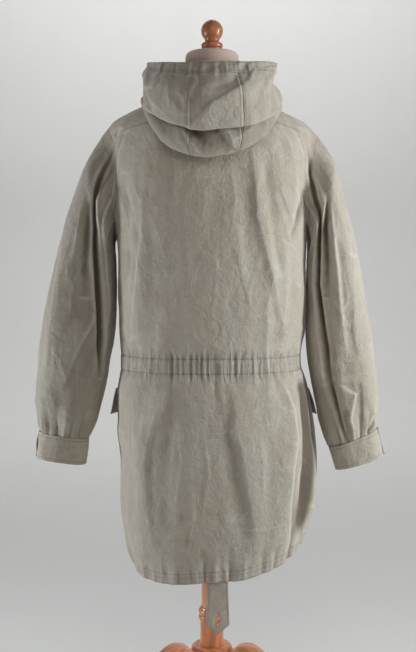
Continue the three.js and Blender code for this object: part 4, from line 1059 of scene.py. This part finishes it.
def make_cuff(name, rows, side, seed):
    around = np.linspace(CUFF_LAP["from"], CUFF_LAP["to"], 150)
    rings = np.linspace(0, 1, 26)
    angle, ring = np.meshgrid(around, rings)
    out = 0.6 + CUFF_LAP["lift"] * smooth(CUFF_LAP["ramp_from"], CUFF_LAP["ramp_to"], angle)
    x, y = angle * CUFF_SIZE["wide"], ring * CUFF_SIZE["tall"]
    out = out + 0.7 * noise(x / 17, ring * 2.2, seed) + 0.5 * crumple(x, y, 22, seed + 1)
    for share, groove_depth in CUFF_STITCHES["shares"]:
        out = out - groove_depth * np.exp(-((ring - share) / CUFF_STITCHES["width"]) ** 2)
    out = out - 0.5 * smooth(0.10, 0.0, ring)
    points = tube_point(rows, side, angle, ring, out)
    middle = points.mean(1, keepdims=True)
    grid = make_grid(points, np.stack([x, y], -1) * MM, lambda p: p - middle)
    return cloth_wall(name, [grid], DOUBLE_CLOTH, cotton), grid


cuff_left, cuff_left_grid = make_cuff("cuff_left_cloth", LEFT_CUFF, 1, 41)
cuff_right, cuff_right_grid = make_cuff("cuff_right_cloth", RIGHT_CUFF, -1, 43)


# Hood, folded down: its section at each bearing from the neck over the fold to the band

HOOD_KEYS = ("bearing", "stand", "foldR", "foldZ", "sackR", "sackZ", "lapR", "lapZ", "pleat",
             "bagR", "bagZ", "rimR", "rimZ")
HOOD_ROWS = [
    (-179, 1294, 84, 1280, 90, 1285, 92, 1294, 0, 91, 1303, 86, 1317),
    (-130, 1312, 96, 1277, 102, 1283, 104, 1293, 0, 100, 1308, 97, 1327),
    (-90, 1316, 110, 1282, 117, 1288, 119, 1298, 0, 107, 1316, 112, 1336),
    (-66, 1315, 128, 1258, 137, 1266, 139, 1280, 0, 119, 1306, 131, 1334),
    (-46, 1314, 158, 1226, 170, 1236, 172, 1254, 0.3, 152, 1290, 152, 1329),
    (-31, 1314, 171, 1190, 186, 1202, 196, 1222, 0.9, 186, 1256, 158, 1324),
    (-14, 1314, 170, 1162, 193, 1177, 206, 1200, 1.1, 206, 1230, 160, 1320),
    (4, 1314, 168, 1154, 194, 1170, 207, 1194, 1.4, 209, 1228, 160, 1319),
    (17, 1314, 171, 1160, 194, 1178, 203, 1204, 1.7, 205, 1230, 160, 1319),
    (26, 1314, 173, 1172, 192, 1192, 197, 1216, 1.7, 199, 1238, 159, 1321),
    (38, 1314, 168, 1204, 183, 1226, 184, 1234, 1.3, 184, 1256, 156, 1325),
    (50, 1314, 155, 1238, 166, 1254, 163, 1252, 1.1, 164, 1282, 150, 1330),
    (66, 1315, 132, 1262, 142, 1276, 137, 1276, 0.8, 136, 1302, 130, 1334),
    (90, 1316, 110, 1282, 118, 1289, 118, 1298, 0, 116, 1314, 111, 1335),
    (130, 1312, 96, 1277, 102, 1283, 104, 1293, 0, 100, 1308, 97, 1327),
    (179, 1294, 84, 1280, 90, 1285, 92, 1294, 0, 91, 1303, 86, 1317)]
HOOD_TABLE = {key: [row[k] for row in HOOD_ROWS] for k, key in enumerate(HOOD_KEYS)}
BAND_START = 10 / 11
TUCK_SHARE = 6 / 11
# Painted shade on the lower sack, under the fold: its share, reach and strength.
LOW_SACK = {"share": 0.45, "reach": 0.06, "shade": 0.35}
HOOD_END = 178
HOOD_SEAM_LEFT = 12
HOOD_SEAM_RIGHT = -15
MM_PER_SHARE = 330
HOOD_RADIUS = 160
HOOD_SEAM_GAP = 0.06
HOOD_COLUMNS_PER_DEGREE = 1.5
HOOD_PANEL_ROWS, HOOD_BAND_ROWS = 118, 16
# Painted shade in the tuck under the lap: its reach and strength.
TUCK = {"reach": 0.035, "shade": 0.8}
HOOD_CREASES = [
    (3.6, 7, "steep_left", [(-30, 0.95), (-20, 0.85), (0, 0.75), (20, 0.55)]),
    (-3.2, 7, "soft", [(-25, 1.0), (-10, 0.85), (5, 0.8)]),
    (2.2, 5, "steep_right", [(30, 0.9), (35, 0.8), (50, 0.75)]),
    (2.0, 5, "crest", [(25, 0.85), (20, 0.7)]),
    (2.6, 7, "steep_left", [(50, 0.85), (40, 0.75), (25, 0.7)]),
    (-3.0, 8, "soft", [(45, 0.75), (30, 0.65)]),
    (3.0, 10, "steep_right", [(-35, 0.9), (-30, 0.65)]),
    (1.6, 5, "crest", [(-50, 0.9), (-40, 0.8), (-45, 0.7)]),
    (-4.0, 8, "soft", [(-60, 0.9), (-60, 0.85), (-70, 0.8)]),
    (2.4, 6, "steep_left", [(5, 0.6), (-15, 0.5)]),
    (4.2, 6, "steep_left", [(0, 0.55), (-15, 0.4)]),
    (4.8, 7, "steep_right", [(25, 0.55), (5, 0.4)]),
    (-5.0, 8, "soft", [(20, 0.55), (0, 0.45)]),
    (3.0, 6, "crest", [(-25, 0.5), (-5, 0.45)]),
    (2.0, 6, "crest", [(60, 0.82), (80, 0.76), (100, 0.80)]),
    (2.0, 6, "crest", [(-70, 0.72), (-90, 0.70), (-104, 0.80)]),
    (2.0, 6, "crest", [(120, 0.86), (140, 0.76), (160, 0.80)]),
    (2.0, 6, "crest", [(-120, 0.86), (-140, 0.76), (-160, 0.80)]),
]


def hood_section(bearing):
    """Twelve points of the section at each bearing, as distance from the axis and height."""
    at = {key: look_up(HOOD_TABLE, "bearing", bearing, key) for key in HOOD_KEYS[1:]}
    neck = body_point(bearing, NECK)
    neck_r = np.hypot(neck[..., 0], neck[..., 1]) - CLOTH / 2
    neck_z = neck[..., 2] + SEAM + 0.1
    drop_r = (neck_r + at["foldR"]) / 2 + 8
    drop_z = (at["stand"] + at["foldZ"]) / 2 + 6
    band_r = at["rimR"] + 0.26 * (at["bagR"] - at["rimR"])
    band_z = at["rimZ"] - 0.24 * (at["rimZ"] - at["bagZ"])
    pairs = [
        (neck_r, neck_z), (neck_r + 6, at["stand"]), (drop_r, drop_z),
        (drop_r * 0.45 + at["foldR"] * 0.55 - 2, drop_z * 0.45 + at["foldZ"] * 0.55),
        (at["foldR"], at["foldZ"]), (at["sackR"], at["sackZ"]),
        (at["lapR"] - 2 - 13 * at["pleat"], at["lapZ"] - 6 + 20 * at["pleat"]),
        (at["lapR"], at["lapZ"]), (at["bagR"], at["bagZ"]),
        ((at["bagR"] + band_r) / 2 + 5, (at["bagZ"] + band_z) / 2 + 2), (band_r, band_z),
        (at["rimR"], at["rimZ"])]
    return np.array([[r, z] for r, z in pairs])


def hood_surface(bearing, share):
    """Points of the hood on a grid of bearings and shares, by a Catmull-Rom spline."""
    section = hood_section(bearing)
    last = len(section) - 1
    place = share * last
    i = np.clip(np.floor(place).astype(int), 0, last - 1)
    t = (place - i)[:, None, None]
    a, b, c, d = (section[np.clip(i + k, 0, last)] for k in (-1, 0, 1, 2))
    curve = 0.5 * (2 * b + (c - a) * t + (2 * a - 5 * b + 4 * c - d) * t**2 + (3 * b - a - 3 * c + d) * t**3)
    radius, height = curve[:, 0], curve[:, 1]
    turn = np.radians(bearing)[None]
    return np.stack([radius * np.sin(turn), radius * np.cos(turn), height], -1)


def band_gathers():
    """Gathers along the band: bearing, width and height of each."""
    rng = np.random.default_rng(61)
    count = 96
    places = np.linspace(-176, 176, count) + rng.uniform(-1.6, 1.6, count)
    return list(zip(places, rng.uniform(2.4, 4.2, count),
                    rng.uniform(0.5, 1.7, count) * np.where(np.arange(count) % 2, 1, -1)))


BAND_GATHERS = band_gathers()


def hood_relief(bearing, share):
    """How far the hood's cloth stands out from its section."""
    relief = folds_relief(bearing, share, HOOD_CREASES, MM_PER_DEGREE, MM_PER_SHARE)
    x, y = bearing * MM_PER_DEGREE, share * MM_PER_SHARE
    loose = smooth(0.02, 0.12, share)
    relief += loose * (1.5 * crumple(x, y, 46, 51) + 0.9 * crumple(x, y, 21, 52))
    for place, width, height in BAND_GATHERS:
        away = wrap(bearing - place) * MM_PER_DEGREE / width
        near = np.exp(-((share - BAND_START - 0.02) / 0.05) ** 2)
        relief += height * near * np.exp(-away * away)
    for seam in (HOOD_SEAM_LEFT, HOOD_SEAM_RIGHT):
        away = np.abs(wrap(bearing - seam)) * MM_PER_DEGREE
        pucker = 0.5 + 0.5 * noise(y / 5.5, np.full_like(y, seam), 54)
        swell = 0.8 * np.exp(-((away - 3.4) / 2.4) ** 2) * pucker
        relief += loose * (swell - 0.3 * np.exp(-(away / 1.4) ** 2))
    return relief


def make_hood(name, bearing_from, bearing_to, share_from, share_to, rows, thickness, material):
    gap = math.degrees(HOOD_SEAM_GAP / HOOD_RADIUS)
    columns = round((bearing_to - bearing_from) * HOOD_COLUMNS_PER_DEGREE)
    bearing = np.linspace(bearing_from + gap, bearing_to - gap, columns + 1)
    share = np.linspace(share_from, share_to, rows + 1)
    points = hood_surface(bearing, share)
    side = hood_side(share, points)
    normals = make_grid(points, np.zeros(points.shape[:2] + (2,)), lambda p: side)["normals"]
    wide, tall = np.meshgrid(bearing, share)
    relief = hood_relief(wide, tall)
    rim = smooth(share_to, share_to - 0.01, tall) if thickness > CLOTH else 1.0
    points = points + normals * (relief * (0.4 + 0.6 * rim))[..., None]
    flat = np.stack([wide * MM_PER_DEGREE * MM, tall * MM_PER_SHARE * MM], -1)
    grid = make_grid(points, flat, lambda p: normals, relief=relief)
    # Painted shade: the tuck under the lap and the lower sack under the fold are darkened.
    pleat = look_up(HOOD_TABLE, "bearing", wide, "pleat")
    tucked = pleat * np.exp(-((tall - TUCK_SHARE) / TUCK["reach"]) ** 2)
    low_sack = np.exp(-((tall - LOW_SACK["share"]) / LOW_SACK["reach"]) ** 2) * smooth(60, 30, np.abs(wide))
    shade = TUCK["shade"] * tucked + LOW_SACK["shade"] * low_sack
    grid["tone"][..., 2] = np.clip(grid["tone"][..., 2] + shade, 0, 1)
    return cloth_wall(name, [grid], thickness, material), grid


def hood_side(share, points):
    """Rough outer side of a hood grid: known where the cloth stands up at the neck, and at the band."""
    upright = (share < 0.08) | (share > BAND_START)
    return away_from_axis(points) * upright[:, None, None]


PANEL_END = BAND_START - 0.0016
hood_left, hood_left_grid = make_hood(
    "hood_left_cloth", HOOD_SEAM_LEFT, HOOD_END, 0, PANEL_END, HOOD_PANEL_ROWS, CLOTH, cotton)
hood_centre, hood_centre_grid = make_hood(
    "hood_centre_cloth", HOOD_SEAM_RIGHT, HOOD_SEAM_LEFT, 0, PANEL_END, HOOD_PANEL_ROWS, CLOTH, cotton)
hood_right, hood_right_grid = make_hood(
    "hood_right_cloth", -HOOD_END, HOOD_SEAM_RIGHT, 0, PANEL_END, HOOD_PANEL_ROWS, CLOTH, cotton)
hood_band, hood_band_grid = make_hood(
    "hood_band_cloth", -HOOD_END, HOOD_END, BAND_START, 1, HOOD_BAND_ROWS, DOUBLE_CLOTH, cotton_band)


# Tail strap and pocket flaps

STRAP = {"x": -10, "top": 396, "top_width": 36, "foot": 300, "foot_width": 44, "tip": 281, "thickness": 2.6}
BUTTONHOLE = {"width": 5, "from": 296, "to": 320, "middle": 308}
EDGE_STITCHES = 3.4
HOLE_STITCHES = np.linspace(0, 2 * math.pi, 40)
HOLE_STITCH_WIDE, HOLE_STITCH_TALL = 4.0, 13.6
STRAP_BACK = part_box("tail_strap")[0][1]


def strap_half(z):
    """Half the strap's width at a height."""
    if z < STRAP["foot"]:
        return max(0.6, STRAP["foot_width"] / 2 * (z - STRAP["tip"]) / (STRAP["foot"] - STRAP["tip"]))
    share = (z - STRAP["foot"]) / (STRAP["top"] - STRAP["foot"])
    return (STRAP["foot_width"] + (STRAP["top_width"] - STRAP["foot_width"]) * share) / 2


def make_strap():
    heights = np.unique(np.concatenate([
        np.linspace(STRAP["tip"], STRAP["foot"], 14), np.linspace(STRAP["foot"], STRAP["top"], 60),
        [BUTTONHOLE["from"], BUTTONHOLE["to"]]]))
    hole = BUTTONHOLE["width"] / 2
    face = STRAP_BACK / MM - AXIS[1] / MM + STRAP["thickness"] / 2 + 1.2

    def depth(x, z):
        edge = np.array([[strap_half(row[0]) for row in z]]).T
        pucker = np.exp(-((np.hypot(x / 9, (z - BUTTONHOLE["middle"]) / 17) - 1) / 0.4) ** 2)
        rim = 0.5 * np.exp(-((edge - np.abs(x) - EDGE_STITCHES) / 1.1) ** 2)
        wave = 0.8 * noise(x / 14, z / 19, 71) + 0.5 * crumple(x, z, 17, 72)
        return face + 0.55 * wave + 0.4 * pucker - rim

    grids = []
    pieces = [(heights[heights <= BUTTONHOLE["from"]], 0, 1), (heights[heights >= BUTTONHOLE["to"]], 0, 1),
              (heights[(heights >= BUTTONHOLE["from"]) & (heights <= BUTTONHOLE["to"])], hole, -1)]
    for levels, start, way in pieces:
        for mirror in (1, -1):
            share = np.linspace(0, 1, 13)
            rows = []
            for z in levels:
                half = strap_half(z)
                core = min(hole, half * 0.9)
                outer = core + (half - core) * share
                rows.append(outer if way < 0 else np.concatenate([[0], outer]))
            x = mirror * np.array(rows)
            z = np.repeat(np.asarray(levels)[:, None], x.shape[1], axis=1)
            points = np.stack([STRAP["x"] + x, depth(x, z), z], -1)
            grids.append(make_grid(points, np.stack([x, z], -1) * MM, lambda p: np.array([0, 1.0, 0])))
    return cloth_wall("tail_strap_cloth", grids, STRAP["thickness"] - 0.8, cotton), depth


strap, strap_depth = make_strap()

FLAP = {"rear": 98, "front": 142, "top": 716, "foot": 664, "clear": 3.8, "flare": 5.5, "thickness": 2}
FLAP_COLUMNS, FLAP_ROWS = 52, 26
FLAP_REAR_LIFT = {"left": 9, "right": 1}


def make_flap(name, side, rear_lift, seed):
    bearing, level = np.meshgrid(np.linspace(FLAP["rear"], FLAP["front"], FLAP_COLUMNS),
                                 np.linspace(FLAP["foot"], FLAP["top"], FLAP_ROWS))
    down = (FLAP["top"] - level) / (FLAP["top"] - FLAP["foot"])
    to_rear = 1 - smooth(FLAP["rear"], FLAP["rear"] + 14, bearing)
    base = body_relief(side * bearing, level)
    calm = blur(base, 5)
    out = FLAP["clear"] + FLAP["flare"] * down + rear_lift * to_rear * (0.4 + 0.6 * down)
    out = out + 0.8 * noise(bearing / 7, level / 21, seed)
    relief = np.maximum(calm, base - 1.0) + out
    points = body_point(side * bearing, level, relief=lambda b, z: relief)
    grid = make_grid(points, unrolled(bearing, level), away_from_axis)
    return cloth_wall(name, [grid], FLAP["thickness"], cotton), grid


flap_left, flap_left_grid = make_flap("flap_left_cloth", 1, FLAP_REAR_LIFT["left"], 81)
flap_right, flap_right_grid = make_flap("flap_right_cloth", -1, FLAP_REAR_LIFT["right"], 82)


# Dress form: torso, neck cap, and the turned and sawn wood

FORM_FOOT = 640
FORM_ROWS = {
    "level": [640, 650, 700, 780, 860, 960, 1060, 1150, 1205, 1240, 1300],
    "side": [146, 154, 160, 140, 130, 150, 165, 172, 172, 172, 110],
    "back": [100, 107, 110, 98, 92, 106, 120, 124, 122, 118, 90],
    "front": [98, 104, 104, 94, 96, 112, 116, 104, 90, 84, 80],
}
FORM_NECK = {"level": [1296, 1312, 1328, 1345], "side": [56, 52, 51, 50], "back": [60, 54, 51, 50],
             "front": [46, 48, 50, 50]}
FORM_CLEAR, SHOULDER_CLEAR = 3.0, 5
FORM_STRAIGHT = 700
FORM_LEVELS = np.concatenate([
    np.linspace(FORM_FOOT, FORM_STRAIGHT, 10), np.linspace(712, 1200, 60), np.linspace(1206, 1284, 22)])
SHARP_ANGLE = math.radians(38)


def ring_mesh(name, rings, material):
    """A closed solid through rings of points, each with the same number of points."""
    rows, columns = rings.shape[:2]
    faces = []
    for r in range(rows - 1):
        for c in range(columns):
            d = (c + 1) % columns
            faces.append((r * columns + c, r * columns + d, (r + 1) * columns + d, (r + 1) * columns + c))
    faces.append(tuple(reversed(range(columns))))
    faces.append(tuple((rows - 1) * columns + c for c in range(columns)))
    obj = new_object(name, rings.reshape(-1, 3), faces, material)
    obj.data.set_sharp_from_angle(angle=SHARP_ANGLE)
    return obj


def form_half(rows, key, value, cosine):
    """The form's depth at a place, behind or in front of the axis."""
    return np.where(cosine > 0, look_up(rows, key, value, "back"), look_up(rows, key, value, "front"))


def make_form():
    bearing = np.linspace(0, 360, 97)[:-1]
    wide, level = np.meshgrid(bearing, FORM_LEVELS)
    relief = np.minimum(body_relief(wide, level), 0)
    cloth = body_point(wide, level, relief=lambda b, z: relief)
    slope = smooth(1180, 1250, level)
    clear = CLOTH + FORM_CLEAR + SHOULDER_CLEAR * slope
    sine, cosine = np.sin(np.radians(wide)), np.cos(np.radians(wide))
    own = 1 / np.hypot(sine / look_up(FORM_ROWS, "level", level, "side"),
                       cosine / form_half(FORM_ROWS, "level", level, cosine))
    radius = np.minimum(own, np.hypot(cloth[..., 0], cloth[..., 1]) - clear)
    height = np.where(level < FORM_STRAIGHT, level, cloth[..., 2] - 1.5 * slope)
    torso = np.stack([radius * sine, radius * cosine, height], -1)
    wide, level = np.meshgrid(bearing, np.linspace(FORM_NECK["level"][0], FORM_NECK["level"][-1], 14))
    sine, cosine = np.sin(np.radians(wide)), np.cos(np.radians(wide))
    neck = np.stack([look_up(FORM_NECK, "level", level, "side") * sine,
                     form_half(FORM_NECK, "level", level, cosine) * cosine, level], -1)
    return ring_mesh("form_torso_cover", np.concatenate([torso, neck])[:, ::-1], cover)


form = make_form()


def turned(name, profile, material, columns=72):
    """A turned solid from (radius, height) pairs, from the bottom up."""
    turn = np.radians(np.linspace(0, 360, columns + 1)[:-1])
    rings = np.array([[(r * math.sin(a), r * math.cos(a), z) for a in turn] for r, z in profile])
    return ring_mesh(name, rings[:, ::-1], material)


def rounded(profile, rounds=2):
    """Cuts the corners of a profile, more finely each round."""
    for _ in range(rounds):
        cut = [profile[0]]
        for (r0, z0), (r1, z1) in zip(profile, profile[1:]):
            cut.append((r0 * 0.75 + r1 * 0.25, z0 * 0.75 + z1 * 0.25))
            cut.append((r0 * 0.25 + r1 * 0.75, z0 * 0.25 + z1 * 0.75))
        profile = cut + [profile[-1]]
    return profile


HUB_TOP = 204
CAP_FOOT = 1345.3
CAP_TOP = 1369
BALL_RADIUS, BALL_MIDDLE = 21, 1409
CAP_PROFILE = rounded([(50, CAP_FOOT), (51.5, CAP_FOOT + 6), (51, CAP_TOP - 8), (48, CAP_TOP - 3),
                       (42, CAP_TOP - 0.6), (30, CAP_TOP), (0.5, CAP_TOP)])
FINIAL_PROFILE = rounded([(18, CAP_TOP + 0.3), (17.4, 1375), (20, 1377), (21, 1381), (20, 1385), (15, 1387.5),
                          (13.4, 1390.5)]) + [
    (BALL_RADIUS * math.cos(math.radians(a)), BALL_MIDDLE + BALL_RADIUS * math.sin(math.radians(a)))
    for a in range(-46, 90, 5)]
POLE_RADIUS = 20.5
POLE_PROFILE = [(POLE_RADIUS - 0.5, HUB_TOP + 0.3), (POLE_RADIUS, HUB_TOP + 0.9),
                (POLE_RADIUS, FORM_FOOT - 0.9), (POLE_RADIUS - 0.5, FORM_FOOT - 0.3)]
COLLAR_RADIUS, COLLAR_TOP = 23.2, 282
COLLAR_PROFILE = [(COLLAR_RADIUS, HUB_TOP + 0.3), (COLLAR_RADIUS, 252)] + rounded([
    (COLLAR_RADIUS, 252), (23.4, 254), (26, 257), (26.8, 260.5), (26, 264), (24.2, 266), (26, 268),
    (26.8, 272), (26, 276), (23.6, 279), (22.6, COLLAR_TOP)]) + [(20.9, COLLAR_TOP)]
HUB_RADIUS = 42
HUB_PROFILE = rounded([(22, 128), (30, 134), (34, 144), (41, 150), (HUB_RADIUS, 154)]) + [
    (HUB_RADIUS, 160), (HUB_RADIUS, 190)] + rounded([
        (HUB_RADIUS, 194), (40.5, 200), (37, 203), (32, HUB_TOP), (29, 202.4), (26, HUB_TOP), (0.5, HUB_TOP)])

cap = turned("neck_cap_cover", CAP_PROFILE, cover)
finial = turned("finial_wood", FINIAL_PROFILE, wood_material("wood_finial", "X", 1.7, 0.65))
pole = turned("pole_wood", POLE_PROFILE, wood_upright)
collar = turned("pole_collar_wood", COLLAR_PROFILE, wood_material("wood_collar", "Z", 3.1))
hub = turned("hub_wood", HUB_PROFILE, wood_material("wood_hub", "Z", 5.3))

LEG_THICKNESS = 30
LEG_ROOT = 42.3
LEG_UPPER = [(62, 214), (88, 217), (118, 200), (150, 160), (182, 104), (214, 56), (244, 30), (268, 20)]
LEG_LOWER = [(228, 0), (214, 8), (190, 34), (160, 84), (128, 134), (100, 160), (72, 166), (LEG_ROOT, 158)]
LEG_TOE = 272
LEG_BEARINGS = {60: "X", 180: "Y", 300: "X"}
# How a leg's edges are rounded: how far in from the outline, at each distance in from its side
LEG_EDGE = [(2.6, 0), (1.2, 0.4), (0.4, 1.2), (0, 2.8)]


def through(points, steps=7):
    """A smooth curve through points, as pairs."""
    p = np.array([points[0]] + list(points) + [points[-1]], float)
    curve = []
    for k in range(1, len(p) - 2):
        a, b, c, d = p[k - 1:k + 3]
        for t in np.linspace(0, 1, steps, endpoint=False):
            curve.append(0.5 * (2 * b + (c - a) * t + (2 * a - 5 * b + 4 * c - d) * t**2
                                + (3 * b - a - 3 * c + d) * t**3))
    return curve + [p[-2]]


def make_leg(name, bearing, material):
    outline = np.array(through([(LEG_ROOT, 198)] + LEG_UPPER) + [(LEG_TOE, 8), (LEG_TOE - 4, 0)]
                       + through(LEG_LOWER))
    before, after = np.roll(outline, 1, axis=0), np.roll(outline, -1, axis=0)
    tangent = unit(after - before)
    inward = np.stack([tangent[:, 1], -tangent[:, 0]], -1)
    rings = []
    half = LEG_THICKNESS / 2
    near = [(inset, -half + step) for inset, step in LEG_EDGE]
    for inset, across in near + [(inset, -place) for inset, place in reversed(near)]:
        edge = outline + inward * inset
        edge[:, 0] = np.maximum(edge[:, 0], LEG_ROOT)
        rings.append(np.stack([edge[:, 0], np.full(len(edge), across), edge[:, 1]], -1))
    rings = np.array(rings)[:, ::-1]
    turn = math.radians(bearing)
    out, side = np.array([math.sin(turn), math.cos(turn)]), np.array([math.cos(turn), -math.sin(turn)])
    flat = rings[..., :1] * out + rings[..., 1:2] * side
    return ring_mesh(name, np.concatenate([flat, rings[..., 2:]], -1), material)


legs = [make_leg(f"leg_wood_{k + 1}", bearing, wood_material(f"wood_leg_{k + 1}", grain, 7.7 + 2 * k))
        for k, (bearing, grain) in enumerate(LEG_BEARINGS.items())]


# Stitching

THREAD_OUT = 0.15
LINE_POINTS = 900
YOKE_INSETS = (1.6, 7.2)
YOKE_STITCHED = np.linspace(1208, 1288, 200)
YOKE_OUTWARD = np.array([0, 0.6, 0.8])


def body_line(bearing, level, beside_bearing, beside_level, outward):
    """Points just outside the body's cloth, with the normals there."""
    points = body_point(bearing, level, THREAD_OUT)
    beside = body_point(bearing + beside_bearing, level + beside_level, THREAD_OUT) - points
    normals = unit(np.cross(np.gradient(points, axis=0), beside))
    return points, normals * np.sign((normals * outward(points)).sum(-1).mean())


def level_line(level, start, stop):
    bearing = np.linspace(start, stop, LINE_POINTS)
    return body_line(bearing, np.full(LINE_POINTS, float(level)), 0, 1, away_from_axis)


def grid_line(grid, row=None, column=None, start=0):
    """A row or a column of a grid, from a row on, just outside the cloth."""
    pick = (slice(start, None), column) if row is None else (row, slice(None))
    return grid["points"][pick] + grid["normals"][pick] * THREAD_OUT, grid["normals"][pick]


body_lines = [level_line(z, start, start + 180) for z in (*WAIST_STITCHES, HEM_STITCH) for start in (-90, 90)]
body_lines.append(level_line(HEM_STITCH - 8, -90, 90))
yoke_lines = []
for mirror in (1, -1):
    for inset in YOKE_INSETS:
        bearing = mirror * (look_up(YOKE_LINE, "level", YOKE_STITCHED, "bearing") - inset / MM_PER_DEGREE)
        yoke_lines.append(body_line(bearing, YOKE_STITCHED, 0.3, 0, lambda p: YOKE_OUTWARD))
body_thread = stitches("body_stitching", body_lines + yoke_lines, thread)

left_thread = stitches("sleeve_left_stitching", [grid_line(sleeve_left_grid, row=10)], thread)
right_thread = stitches("sleeve_right_stitching", [grid_line(sleeve_right_grid, row=10)], thread)
cuff_left_thread = stitches(
    "cuff_left_stitching", [grid_line(cuff_left_grid, row=r) for r in (3, 22)], thread)
cuff_right_thread = stitches(
    "cuff_right_stitching", [grid_line(cuff_right_grid, row=r) for r in (3, 22)], thread)
hood_lines = [grid_line(grid, column=column, start=40) for grid, column in (
    (hood_left_grid, 2), (hood_centre_grid, -3), (hood_centre_grid, 2), (hood_right_grid, -3))]
hood_thread = stitches("hood_stitching", hood_lines, thread)
band_thread = stitches("band_stitching", [grid_line(hood_band_grid, row=r) for r in (2, 13)], thread)


def strap_line(pairs):
    x, z = np.array(pairs, float).T
    points = np.stack([STRAP["x"] + x, strap_depth(x[:, None], z[:, None])[:, 0] + 0.2, z], -1)
    return points, np.tile([0, 1.0, 0], (len(pairs), 1))


edge_line = [(strap_half(z) - EDGE_STITCHES, z) for z in np.linspace(STRAP["foot"], 376, 40)]
point_line = [(-edge_line[0][0], STRAP["foot"]), (0, STRAP["tip"] + 4.6), (edge_line[0][0], STRAP["foot"])]
hole_line = [(HOLE_STITCH_WIDE * math.cos(a), BUTTONHOLE["middle"] + HOLE_STITCH_TALL * math.sin(a))
             for a in HOLE_STITCHES]
strap_thread = stitches("strap_stitching", [
    strap_line(edge_line), strap_line([(-x, z) for x, z in edge_line]), strap_line(point_line),
    strap_line(hole_line)], thread)


def flap_stitches(name, grid):
    lines = [grid_line(grid, row=3), grid_line(grid, column=3), grid_line(grid, column=-4)]
    return stitches(name, lines, thread)


flap_left_thread = flap_stitches("flap_left_stitching", flap_left_grid)
flap_right_thread = flap_stitches("flap_right_stitching", flap_right_grid)


# Which CAD part each new piece stands for, grouped as cotton, cover and wood; those CAD parts are hidden

COTTON_PIECES = {
    "back_panel": back, "front_panel": front, "sleeve_left": sleeve_left, "sleeve_right": sleeve_right,
    "cuff_left": cuff_left, "cuff_right": cuff_right, "hood_left": hood_left, "hood_centre": hood_centre,
    "hood_right": hood_right, "hood_band": hood_band, "tail_strap": strap,
    "pocket_flap_left": flap_left, "pocket_flap_right": flap_right}
COVER_PIECES = {"form_torso": form, "neck_cap": cap}
WOOD_PIECES = {
    "finial": finial, "pole": pole, "pole_collar": collar, "hub": hub,
    "leg_1": legs[0], "leg_2": legs[1], "leg_3": legs[2]}
for slot, pieces in (("cotton", COTTON_PIECES), ("form_cover", COVER_PIECES), ("wood", WOOD_PIECES)):
    for node, piece in pieces.items():
        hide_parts(node)


# Stage, light and camera

COVE = {"distance": 5.4, "bend": 1.4, "height": 7.0, "half_width": 8.0}


def make_stage():
    """A pale floor that curves up into a far backdrop."""
    edge, bend = -COVE["distance"] + COVE["bend"], COVE["bend"]
    profile = [(COVE["half_width"], 0.0), (edge, 0.0)]
    for turn in np.linspace(0, math.pi / 2, 20)[1:]:
        profile.append((edge - bend * math.sin(turn), bend - bend * math.cos(turn)))
    profile += [(-COVE["distance"], COVE["height"])]
    verts = [(x, y, z) for y, z in profile for x in (-COVE["half_width"], COVE["half_width"])]
    faces = [(2 * k, 2 * k + 1, 2 * k + 3, 2 * k + 2) for k in range(len(profile) - 1)]
    mesh = bpy.data.meshes.new("stage_floor")
    mesh.from_pydata(verts, [], faces)
    mesh.polygons.foreach_set("use_smooth", [True] * len(mesh.polygons))
    mesh.materials.append(stage_material())
    obj = bpy.data.objects.new("stage_floor", mesh)
    bpy.context.collection.objects.link(obj)


make_stage()


def soft_box(name, place, target, size, power, colour):
    light = bpy.data.lights.new(name, "AREA")
    light.shape = "RECTANGLE"
    light.size, light.size_y = size
    light.energy = power
    light.color = colour
    obj = bpy.data.objects.new(name, light)
    obj.location = place
    obj.rotation_euler = (Vector(target) - Vector(place)).to_track_quat("-Z", "Y").to_euler()
    bpy.context.collection.objects.link(obj)


CHEST = (0.0, 0.05, 0.95)
soft_box("soft_box_left", (1.46, 0.14, 0.72), CHEST, (0.30, 0.9), 11.5, (0.92, 0.98, 1.0))
soft_box("soft_box_right", (-1.39, 0.48, 1.12), CHEST, (0.30, 1.1), 19.5, (0.93, 0.98, 1.0))
soft_box("soft_fill", (-0.2, 2.4, 2.1), CHEST, (1.6, 1.2), 11.5, (1.0, 0.955, 0.90))
soft_box("backdrop_light", (0.0, -2.6, 4.6), (0.0, -5.4, 1.3), (5.0, 1.0), 150, (1.0, 1.0, 1.0))

world = bpy.data.worlds.new("studio")
bpy.context.scene.world = world
world.use_nodes = True
world.node_tree.nodes["Background"].inputs["Color"].default_value = (0.86, 0.87, 0.88, 1)
world.node_tree.nodes["Background"].inputs["Strength"].default_value = 0.09

CAMERA_PLACE = np.array([7.8, 1860, 967])
CAMERA_PITCH = math.degrees(math.atan(64 / 952))
SENSOR = 36
IMAGE_HEIGHT, FOCAL_PIXELS = 652, 952
camera_data = bpy.data.cameras.new("camera")
camera_data.sensor_fit = "VERTICAL"
camera_data.sensor_height = SENSOR
camera_data.lens = SENSOR * FOCAL_PIXELS / IMAGE_HEIGHT
camera = bpy.data.objects.new("camera", camera_data)
camera.location = Vector(CAMERA_PLACE * MM + AXIS)
camera.rotation_euler = (math.radians(90 - CAMERA_PITCH), 0, math.pi)
bpy.context.collection.objects.link(camera)
bpy.context.scene.camera = camera
bpy.context.scene.view_settings.view_transform = "Standard"
